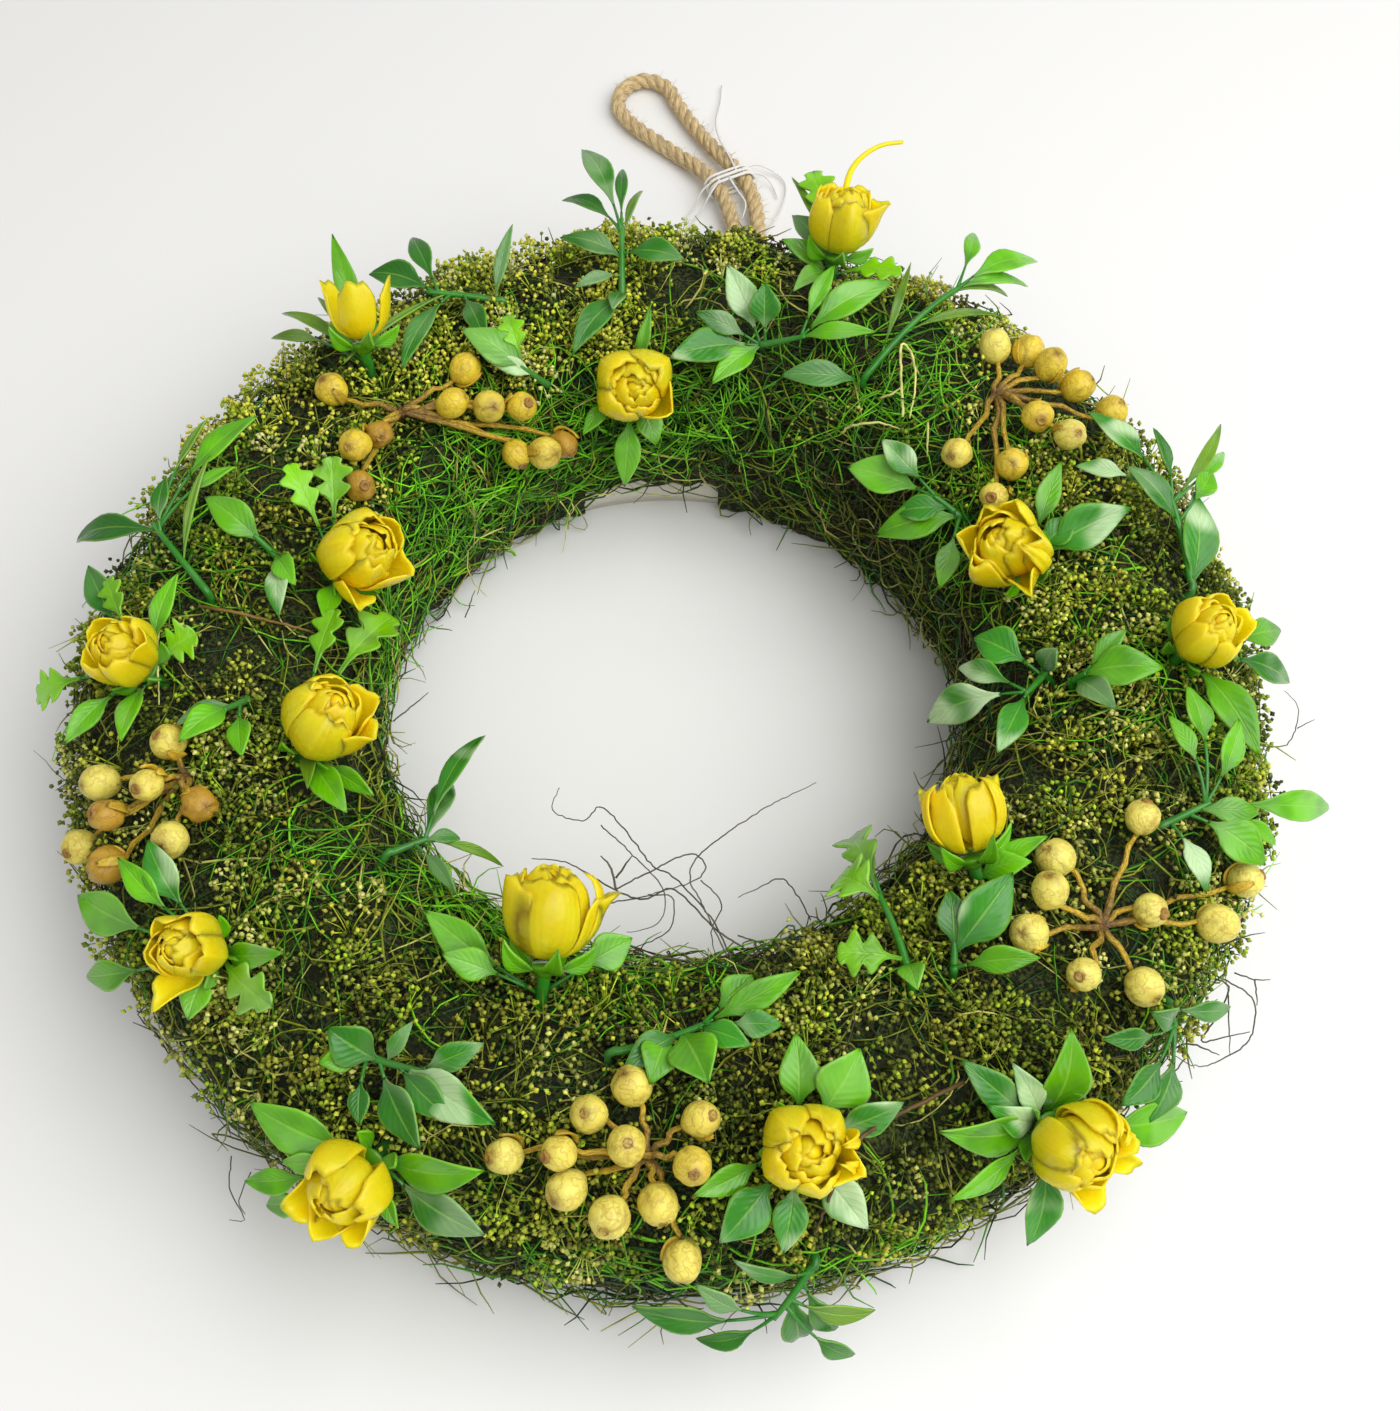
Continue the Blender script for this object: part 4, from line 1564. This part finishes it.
# %% [markdown]
# ## Growing the grass
#
# Three kinds of stems make the wrap: deep ones below, fresh green ones on them, and dry ones that
# stand out most. Each kind has a row: its name, the number of stems, the ranges of their lengths,
# radii, curls and lifts, the share that ends free, the share that keeps to the fresh patches, and
# the mix of its dyes. The outer flank is the longest way round, so it gets a share of its own.

# %% Grow the grass
GRASS_SEED = 7
GRASS_WIGGLE = 0.12
WRAP_ROLLS = (-42, 222)
FLANK_SHARE = 0.13
FLANK_ROLLS = (-54, 14)
ROLL_LIMITS = (-56, 236)
PATCH_SCATTER = 0.6
ROOT_LIFT = -3.2
OVER_LEAF_SHARE = 0.12
BESIDE_LEAF_RISE = 0.9
LOWEST_GRASS = 0.2
GRASS_KINDS = (
    ("curly_grass_deep", 2600, (15, 30), (0.20, 0.32), (0.02, 0.09), (-2.6, -0.4), 0.06, 0.1,
     {"fresh": 0.4, "green": 1.0, "deep": 1.8, "olive": 0.7, "straw": 0.03, "brown": 0.7}),
    ("curly_grass_green", 2750, (13, 29), (0.18, 0.29), (0.03, 0.12), (-1.8, 1.4), 0.14, 0.5,
     {"fresh": 3.6, "green": 1.6, "deep": 0.5, "olive": 0.7, "straw": 0.10, "brown": 0.15}),
    ("curly_grass_dry", 1200, (10, 28), (0.14, 0.23), (0.04, 0.16), (-1.0, 2.2), 0.22, 0.0,
     {"fresh": 0.6, "green": 0.5, "deep": 0.2, "olive": 1.8, "straw": 0.6, "brown": 0.7}),
)


def grow_grass(name, count, lengths, widths, curls, lifts, free, in_patches, mix, chance):
    """One kind of grass, which creeps over the wrap and ducks under what lies on it."""
    sizes = np.array([wide * high for _, _, wide, high in FRESH_PATCHES], float)
    patches = np.array(FRESH_PATCHES)[chance.choice(len(sizes), count, p=sizes / sizes.sum())]
    in_patch = chance.random(count) < in_patches
    clock = np.where(in_patch, chance.normal(patches[:, 0], patches[:, 2] * PATCH_SCATTER),
                     chance.uniform(0, 360, count))
    roll = np.where(in_patch, chance.normal(patches[:, 1], patches[:, 3] * PATCH_SCATTER),
                    chance.uniform(*WRAP_ROLLS, count))
    roll = np.where(chance.random(count) < FLANK_SHARE, chance.uniform(*FLANK_ROLLS, count), roll)
    heading = chance.normal(0, 0.75, count) + chance.choice((0, math.pi), count)
    length = chance.uniform(*lengths, count)
    curl = chance.uniform(*curls, count) * chance.choice((-1, 1), count)
    clocks, rolls = creep(clock, roll, heading, length, curl, GRASS_WIGGLE, GRASS_STEPS, chance)
    rolls = np.clip(rolls, *ROLL_LIMITS)
    share = np.linspace(0, 1, GRASS_STEPS)
    lift = chance.uniform(*lifts, count)[:, None]
    wave = chance.uniform(0.3, 1.1, count)[:, None]
    ripple = wave * np.sin(share * chance.uniform(5, 11, count)[:, None]
                           + chance.uniform(0, 6, count)[:, None])
    dive = np.minimum(share, 1 - share) * 5
    risen = ROOT_LIFT + (lift - ROOT_LIFT) * dive ** 0.7
    lifts_here = np.where(dive < 1, risen, lift) + ripple
    loose = chance.random(count) < free
    rise = np.clip(share * 1.6 - 0.6, 0, 1) ** 1.4 * chance.uniform(2.0, 7.5, count)[:, None]
    set_free = np.maximum(lifts_here[:, :1], lift) + ripple + rise
    lifts_here = np.where(loose[:, None], set_free, lifts_here)
    paths = ring_points(clocks, rolls, lifts_here)
    inwards = unit(ring_points(clocks, rolls, -10.0) - ring_points(clocks, rolls))
    above = covers_foliage(paths.reshape(-1, 3), inwards.reshape(-1, 3),
                           (lifts_here + WRAP_CLEAR_LIFT).ravel()).reshape(count, -1)
    above &= (chance.random(count) > OVER_LEAF_SHARE)[:, None]
    beside = above | np.roll(above, 1, axis=1) | np.roll(above, -1, axis=1)
    lifts_here = np.where(above, np.minimum(lifts_here, UNDER_LEAF_LIFT), lifts_here)
    lifts_here = np.where(beside & ~above,
                          np.minimum(lifts_here, UNDER_LEAF_LIFT + BESIDE_LEAF_RISE), lifts_here)
    paths = ring_points(clocks, rolls, lifts_here)
    keep = ~in_bare_place(paths).any(axis=1) & (paths[..., 2].min(axis=1) > LOWEST_GRASS * MM)
    paths, count = paths[keep], int(keep.sum())
    taper = np.interp(share, (0, 0.1, 0.7, 1), (0.6, 1.0, 0.9, 0.35))
    radii = chance.uniform(*widths, count)[:, None] * taper * MM
    points, faces = many_tubes(paths, radii)
    fresh = patch_share(clock[keep], roll[keep], FRESH_PATCHES)
    dark = patch_share(clock[keep], roll[keep], DARK_PATCHES)
    dye = on_each_ring(dye_for(fresh, dark, mix, chance), GRASS_STEPS)
    print(name, "stems:", count)
    return stored_piece(name, (points, faces, dye), dyed_grass, "dye", "grass", "grass_wrap")


chance = np.random.default_rng(GRASS_SEED)
grass = [grow_grass(*kind, chance) for kind in GRASS_KINDS]
print("kinds of grass:", len(grass))

# %% [markdown]
# ## Seed heads
#
# Over the grass lie mats of dried seed heads: grains a little over a millimetre long, on stalks as
# fine as thread, that branch from a common foot and make a rounded tuft. The tufts give the mats
# their cauliflower look, and grains deep in a tuft are darker. Each grain is only two five-sided
# cones foot to foot, squashed and turned by chance and shaded smooth, and arrays set thousands of
# them in their tufts in one go.

# %% The seed finish
seed_husk, tree, shader = start_finish("seed_husk", 0.62, Specular_IOR_Level=0.35)
seed_change = rising(tree, mottle(tree, 900, 2.0), 0.35, 0.7)
seed_dark = mixed(tree, 0.45, stored(tree, "dye"), colour(0.030, 0.034, 0.004))
tree.links.new(mixed(tree, seed_change, seed_dark, stored(tree, "dye")),
               shader.inputs["Base Color"])
raised(tree, shader, mottle(tree, 2400, 2.0), 0.2 * MM)
print("finish:", seed_husk.name)

# %% Grains in tufts
GRAIN_SIDES = 5
GRAIN_LENGTH = 1.35
GRAIN_RADII = (0.40, 0.62)
waist_turn = np.arange(GRAIN_SIDES) / GRAIN_SIDES * math.tau
waist = np.stack([np.cos(waist_turn), np.sin(waist_turn), np.full(GRAIN_SIDES, 0.15)], axis=-1)
GRAIN_POINTS = np.concatenate([waist, [(0, 0, GRAIN_LENGTH), (0, 0, -GRAIN_LENGTH)]])
side = np.arange(GRAIN_SIDES)
after = (side + 1) % GRAIN_SIDES
top_point = np.full(GRAIN_SIDES, GRAIN_SIDES)
GRAIN_FACES = np.concatenate([np.stack([side, after, top_point], axis=-1),
                              np.stack([after, side, top_point + 1], axis=-1)])
SEED_DYES = np.array(((0.46, 0.52, 0.040), (0.28, 0.38, 0.018), (0.74, 0.78, 0.160),
                      (0.07, 0.10, 0.005), (0.28, 0.42, 0.018), (0.42, 0.43, 0.035)))
TUFT_HEADS = 34
STALK_EVERY = 4
TUFT_SPREAD = 6.6
TUFT_DOME = 3.4
TUFT_FOOT_LIFT = -3.0
STALK_RADII = (0.18, 0.15, 0.12)
STALK_TINT = (0.9, 1.0, 0.8)
LOWEST_SEED = 1.2
LIGHT_BY_LIFT = ((-2.0, 3.2), (0.3, 1.25))
LIGHTEST_SEED = (0.86, 0.84, 0.36)


def many_grains(centres, radii, chance):
    """Turned grains at many places. Returns points and faces."""
    count = len(centres)
    squash = chance.uniform(0.82, 1.15, (count, 1, 3))
    axes = unit(chance.normal(0, 1, (count, 3)))
    others = unit(np.cross(axes, chance.normal(0, 1, (count, 3))))
    turn = np.stack([axes, others, np.cross(axes, others)], axis=1)
    grains = (GRAIN_POINTS[None] * squash) @ turn * radii[:, None, None] + centres[:, None]
    offsets = np.arange(count)[:, None, None] * len(GRAIN_POINTS)
    return grains.reshape(-1, 3), (GRAIN_FACES[None] + offsets).reshape(-1, 3).tolist()


def set_tufts(name, tufts, first, last, low, high, tops, tone, nodes, chance):
    """Tufts of seed heads and their stalks between two clocks and two rolls."""
    foot_clock = chance.uniform(first, last, tufts)
    foot_roll = chance.uniform(low, high, tufts)
    top = chance.uniform(*tops, tufts)
    spread = TUFT_SPREAD * chance.uniform(0.6, 1.15, tufts)[:, None]
    away = spread * np.sqrt(chance.random((tufts, TUFT_HEADS)))
    angle = chance.uniform(0, math.tau, (tufts, TUFT_HEADS))
    width = RING_RADIUS + MOSS_HALF_WIDTH * np.cos(np.radians(foot_roll))[:, None]
    clock = foot_clock[:, None] + np.degrees(away * np.cos(angle) / width)
    roll = foot_roll[:, None] + np.degrees(away * np.sin(angle) / SECTION_RADIUS)
    lift = (top[:, None] - TUFT_DOME * (away / spread) ** 2
            + chance.normal(0, 0.8, (tufts, TUFT_HEADS)))
    feet_clock = np.broadcast_to(foot_clock[:, None], clock.shape)
    feet_roll = np.broadcast_to(foot_roll[:, None], clock.shape)
    tuft_dye = SEED_DYES[chance.integers(0, len(SEED_DYES), tufts)]
    tuft_dye = tuft_dye * tone * chance.uniform(0.7, 1.25, tufts)[:, None]
    dye = np.repeat(tuft_dye, TUFT_HEADS, axis=0) * chance.uniform(0.35, 1.4, (clock.size, 1))
    clock, roll, lift = clock.ravel(), roll.ravel(), lift.ravel()
    dye = np.minimum(dye * np.interp(lift, *LIGHT_BY_LIFT)[:, None], LIGHTEST_SEED)
    centres = ring_points(clock, roll, lift)
    inwards = unit(ring_points(clock, roll, -10.0) - ring_points(clock, roll))
    keep = ~covers_foliage(centres, inwards, lift + WRAP_CLEAR_LIFT) & ~in_bare_place(centres)
    keep &= centres[:, 2] > LOWEST_SEED * MM
    clock, roll, lift, centres, dye = clock[keep], roll[keep], lift[keep], centres[keep], dye[keep]
    feet = ring_points(feet_clock.ravel()[keep], feet_roll.ravel()[keep], TUFT_FOOT_LIFT)
    waists = ring_points((clock * 0.45 + feet_clock.ravel()[keep] * 0.55),
                         (roll * 0.45 + feet_roll.ravel()[keep] * 0.55), lift * 0.5 - 1.0)
    radii = chance.uniform(*GRAIN_RADII, len(centres)) * MM
    points, faces = many_grains(centres, radii, chance)
    grain_dye = np.repeat(dye, len(GRAIN_POINTS), axis=0)
    heads = stored_piece(name, (points, faces, grain_dye), seed_husk, "dye", "seed", *nodes)
    paths = np.stack([feet, waists, centres], axis=1)[::STALK_EVERY]
    points, faces = many_tubes(paths, np.tile(np.array(STALK_RADII) * MM, (len(paths), 1)))
    stalk_dye = on_each_ring(dye[::STALK_EVERY] * np.array(STALK_TINT), 3)
    stalks = stored_piece(name + "_stalks", (points, faces, stalk_dye), dyed_grass, "dye", "seed",
                          *nodes)
    print(name, "heads:", len(centres), "stalks:", len(paths))
    return heads, stalks


print("faces in a grain:", len(GRAIN_FACES))

# %% [markdown]
# ## Where the mats lie
#
# The mats follow the photograph, with a few tufts scattered over the rest. A row has the mat's name,
# the number of its tufts, its first and last clock, its lowest and highest roll, how far the tufts
# stand up, how light the seeds are, and the solids that it stands for.

# %% Set the mats of seed heads
SEED_HEAD_SEED = 31
SEED_MATS = (
    ("seed_heads_upper_left", 165, 296, 356, 18, 124, (1.2, 4.6), 2.2, ("seed_mat_1",)),
    ("seed_heads_right", 172, 58, 122, 5, 122, (1.2, 4.8), 1.15, ("seed_mat_2",)),
    ("seed_heads_lower", 212, 122, 210, 12, 132, (1.0, 4.6), 1.05, ("seed_mat_3",)),
    ("seed_heads_left", 178, 210, 292, 5, 112, (1.0, 4.6), 1.0, ("seed_mat_3",)),
    ("seed_heads_top", 60, 352, 410, 25, 82, (0.6, 3.4), 2.0, ()),
    ("seed_heads_scattered", 90, 0, 360, -20, 150, (0.4, 3.4), 1.0, ()),
)

chance = np.random.default_rng(SEED_HEAD_SEED)
seed_pieces = [set_tufts(*mat, chance) for mat in SEED_MATS]
print("mats:", len(seed_pieces))

# %% [markdown]
# ## Strays
#
# Nothing makes a dried wreath look real as much as its strays: bare stalks that tangle over the
# hole, a net of wiry ones at the right, a few pale straws and two brown twigs that lie across the
# moss. They are too few to leave to chance, so each is a row of points. The wiry ones stand free,
# so theirs are in mm from the origin. The straws and twigs lie on the moss, so theirs are ring
# places.

# %% The wiry strays
WIRY_STRAYS = (
    (0.17, ((11, -66, 41), (7, -58, 43), (0, -51, 46), (-4, -49, 47), (-9, -43, 49), (-14, -38, 50),
            (-17, -41, 50), (-23, -39, 50), (-22, -34, 50))),
    (0.15, ((10, -65, 41), (5, -55, 44), (3, -51, 45), (5, -46, 46), (17, -39, 51), (27, -35, 54))),
    (0.20, ((13, -63, 41), (8, -60, 42), (0, -53, 45), (-6, -55, 45), (-13, -52, 45), (-20, -48, 46),
            (-27, -47, 46))),
    (0.24, ((-11, -53, 45), (-12, -49, 46), (-14, -47, 47))),
    (0.22, ((-11, -51, 46), (-8, -47, 47))),
    (0.17, ((-11, -53, 45), (-5, -50, 46), (3, -46, 46), (6, -49, 46), (3, -52, 46), (-5, -54, 45))),
    (0.14, ((-14, -41, 48), (-8, -47, 48), (-2, -53, 45), (-3, -59, 43), (-9, -60, 41))),
    (0.14, ((-13, -56, 45), (-2, -54, 45), (0, -56, 44), (-2, -61, 42), (-14, -64, 38))),
    (0.14, ((5, -51, 45), (9, -55, 43), (7, -60, 42), (8, -65, 39))),
    (0.15, ((26, -57, 40), (21, -51, 45), (16, -53, 46), (12, -55, 46))),
    (0.20, ((-5, -64, 39), (5, -65, 38), (12, -67, 38))),
    (0.16, ((12, -61, 42), (17, -63, 41), (12, -66, 40))),
    (0.20, ((103, -63, 26), (108, -65, 26), (105, -71, 24), (102, -75, 22), (107, -74, 22),
            (112, -73, 22))),
    (0.17, ((106, -63, 26), (113, -67, 24), (112, -74, 22), (108, -77, 20), (102, -79, 19),
            (97, -77, 20))),
    (0.15, ((108, -66, 25), (108, -77, 20))),
    (0.20, ((97, -76, 20), (100, -75, 21), (106, -77, 20))),
    (0.16, ((100, -77, 20), (96, -81, 18), (93, -84, 16))),
    (0.17, ((110, -62, 25), (114, -63, 24), (117, -63, 24))),
    (0.17, ((114, -63, 24), (114, -68, 23))),
    (0.14, ((98, -67, 24), (101, -69, 23), (99, -75, 21))),
    (0.14, ((101, -71, 23), (106, -67, 24))),
    (0.13, ((120, -14, 30), (127, -14, 30), (131, -6, 30), (129, -1, 30))),
    (0.13, ((123, 0, 32), (122, -12, 30))),
    (0.12, ((130, -10, 30), (134, -8, 30))),
    (0.20, ((27, -116, 10), (31, -115, 12), (33, -113, 13))),
    (0.15, ((27, -116, 10), (35, -114, 12), (41, -110, 14))),
    (0.15, ((36, -113, 13), (45, -115, 10), (50, -110, 12), (51, -107, 13))),
    (0.13, ((-85, -95, 14), (-85, -101, 12), (-82, -106, 10), (-85, -106, 10))),
    (0.13, ((-81, -98, 14), (-83, -103, 12), (-82, -105, 10))),
    (0.30, ((-65, 4, 24), (-61, 10, 24), (-58, 13, 25))),
    (0.18, ((-60, -4, 22), (-56, 0, 22), (-53, 3, 22))),
    (0.16, ((-55, 20, 24), (-56, 14, 22))),
    (0.16, ((-47, 26, 16), (-45, 32, 18))),
    (0.16, ((-54, 21, 20), (-49, 20, 20))),
)
WIRY_DYE = np.array((0.075, 0.070, 0.040))
STRAY_SEED = 5
STRAY_STEP = 0.8


def stray_tube(path, radius, dye, dice):
    """A thin crooked tube, and the dye of its points."""
    route = evenly(smooth_line(path, 4), STRAY_STEP * MM)
    jitter = np.array([[dice.gauss(0, 0.07) for _ in range(3)] for _ in route]) * MM
    share = np.linspace(0, 1, len(route))
    radii = radius * MM * np.interp(share, (0, 0.6, 1), (1.0, 0.9, 0.5))
    points, faces, _ = tube(route + jitter, radii, 5)
    return points, faces, np.tile(dye * dice.uniform(0.7, 1.5), (len(points), 1))


dice = random.Random(STRAY_SEED)
parts = [stray_tube(np.array(places) * MM, radius, WIRY_DYE, dice) for radius, places in WIRY_STRAYS]
wiry_strays = stored_piece("wiry_strays", merge(parts), dyed_grass, "dye", "grass")
print("wiry strays:", len(WIRY_STRAYS), "faces:", len(wiry_strays.data.polygons))

# %% Straws and twigs on the moss
STRAWS = (
    (0.34, ((34, 139, 1), (36, 133, 4), (40, 127, 4), (43, 125, 2))),
    (0.34, ((42, 120, 1), (39, 110, 5), (36, 100, 7), (38, 100, 5), (41, 108, 4), (43, 119, 1))),
    (0.3, ((37, 119, 2), (39, 115, 4), (39, 110, 2))),
    (0.28, ((46, 116, 2), (48, 121, 3), (50, 127, 2))),
    (0.28, ((273, 71, 2), (268, 73, 3), (260, 74, 2))),
)
MOSS_TWIGS = (
    (0.4, ((273, 85, 2), (272, 97, 3), (271, 121, 3), (271, 130, 2))),
    (0.45, ((151, 66, 2), (155, 67, 4), (162, 66, 8), (165, 60, 9), (167, 48, 6), (168, 37, 3))),
)
STRAW_DYE = np.array((0.62, 0.60, 0.20))
TWIG_DYE = np.array((0.17, 0.095, 0.022))


def on_moss(places):
    """Points for (clock, roll, lift) rows."""
    return ring_points(*np.array(places, float).T)


parts = [stray_tube(on_moss(places), radius, STRAW_DYE, dice) for radius, places in STRAWS]
parts += [stray_tube(on_moss(places), radius, TWIG_DYE, dice) for radius, places in MOSS_TWIGS]
stored_piece("straws_and_twigs", merge(parts), dyed_grass, "dye", "grass")
print("straws:", len(STRAWS), "twigs:", len(MOSS_TWIGS))

# %% The yellow strand behind the top rose
STRAND_RADII = (0.9, 0.45)
strand_path = np.array(((37.5, 107.0, 58.0), (39.0, 111.5, 61.0), (40.5, 117.0, 62.5),
                        (43.5, 121.5, 63.0), (48.0, 124.5, 63.5), (53.0, 126.0, 63.0))) * MM
strand_route = evenly(smooth_line(strand_path, 5), STRAY_STEP * MM)
points, faces, _ = tube(strand_route, np.linspace(*STRAND_RADII, len(strand_route)) * MM, 8)
strand_values = np.tile((0.0, 0.7, 0.0), (len(points), 1))
stored_piece("yellow_strand", (points, faces, strand_values), rose_plastic, "petal", "rose")
print("strand length in mm:", round(reach_along(strand_route)[-1] / MM, 1))

# %% [markdown]
# ## Floor and light
#
# The photograph was taken on a plain white table in soft daylight from the right. A large pale
# plane stands for the table. Two broad lamps stand for the window and the bright room: the
# broader a lamp is, the softer the shadow's edge.

# %% Lay the floor
floor_paint, tree, shader = start_finish("floor_paint", 0.6)
floor_tone = mixed(tree, mottle(tree, 3.0, 2.0), colour(0.79, 0.79, 0.78), colour(0.82, 0.82, 0.81))
tree.links.new(floor_tone, shader.inputs["Base Color"])
FLOOR_HALF = 4.0
FLOOR_DROP = 0.0003
floor_corners = [(x * FLOOR_HALF, y * FLOOR_HALF, -FLOOR_DROP)
                 for x, y in ((-1, -1), (1, -1), (1, 1), (-1, 1))]
floor = make_piece("table_top", floor_corners, [(0, 1, 2, 3)], floor_paint)
print("floor laid")

# %% Set the lights
LAMPS = (
    ("window_light", (0.52, -0.08, 0.84), 1.0, 9.0),
    ("front_light", (0.15, -0.6, 1.0), 1.0, 4.4),
)
SKY_COLOUR = (1.0, 0.985, 0.95, 1.0)
SKY_STRENGTH = 0.45

for name, place, side, power in LAMPS:
    lamp = bpy.data.lights.new(name, "AREA")
    lamp.shape = "SQUARE"
    lamp.size = side
    lamp.energy = power
    lamp_object = bpy.data.objects.new(name, lamp)
    lamp_object.location = place
    lamp_object.rotation_mode = "QUATERNION"
    lamp_object.rotation_quaternion = (Vector(place) - VIEW_CENTRE).to_track_quat("Z", "Y")
    bpy.context.scene.collection.objects.link(lamp_object)

world = bpy.data.worlds.new("bright_room")
world.use_nodes = True
sky = world.node_tree.nodes["Background"]
sky.inputs["Color"].default_value = SKY_COLOUR
sky.inputs["Strength"].default_value = SKY_STRENGTH
bpy.context.scene.world = world
bpy.context.scene.view_settings.view_transform = "Standard"
print("lamps:", len(LAMPS))
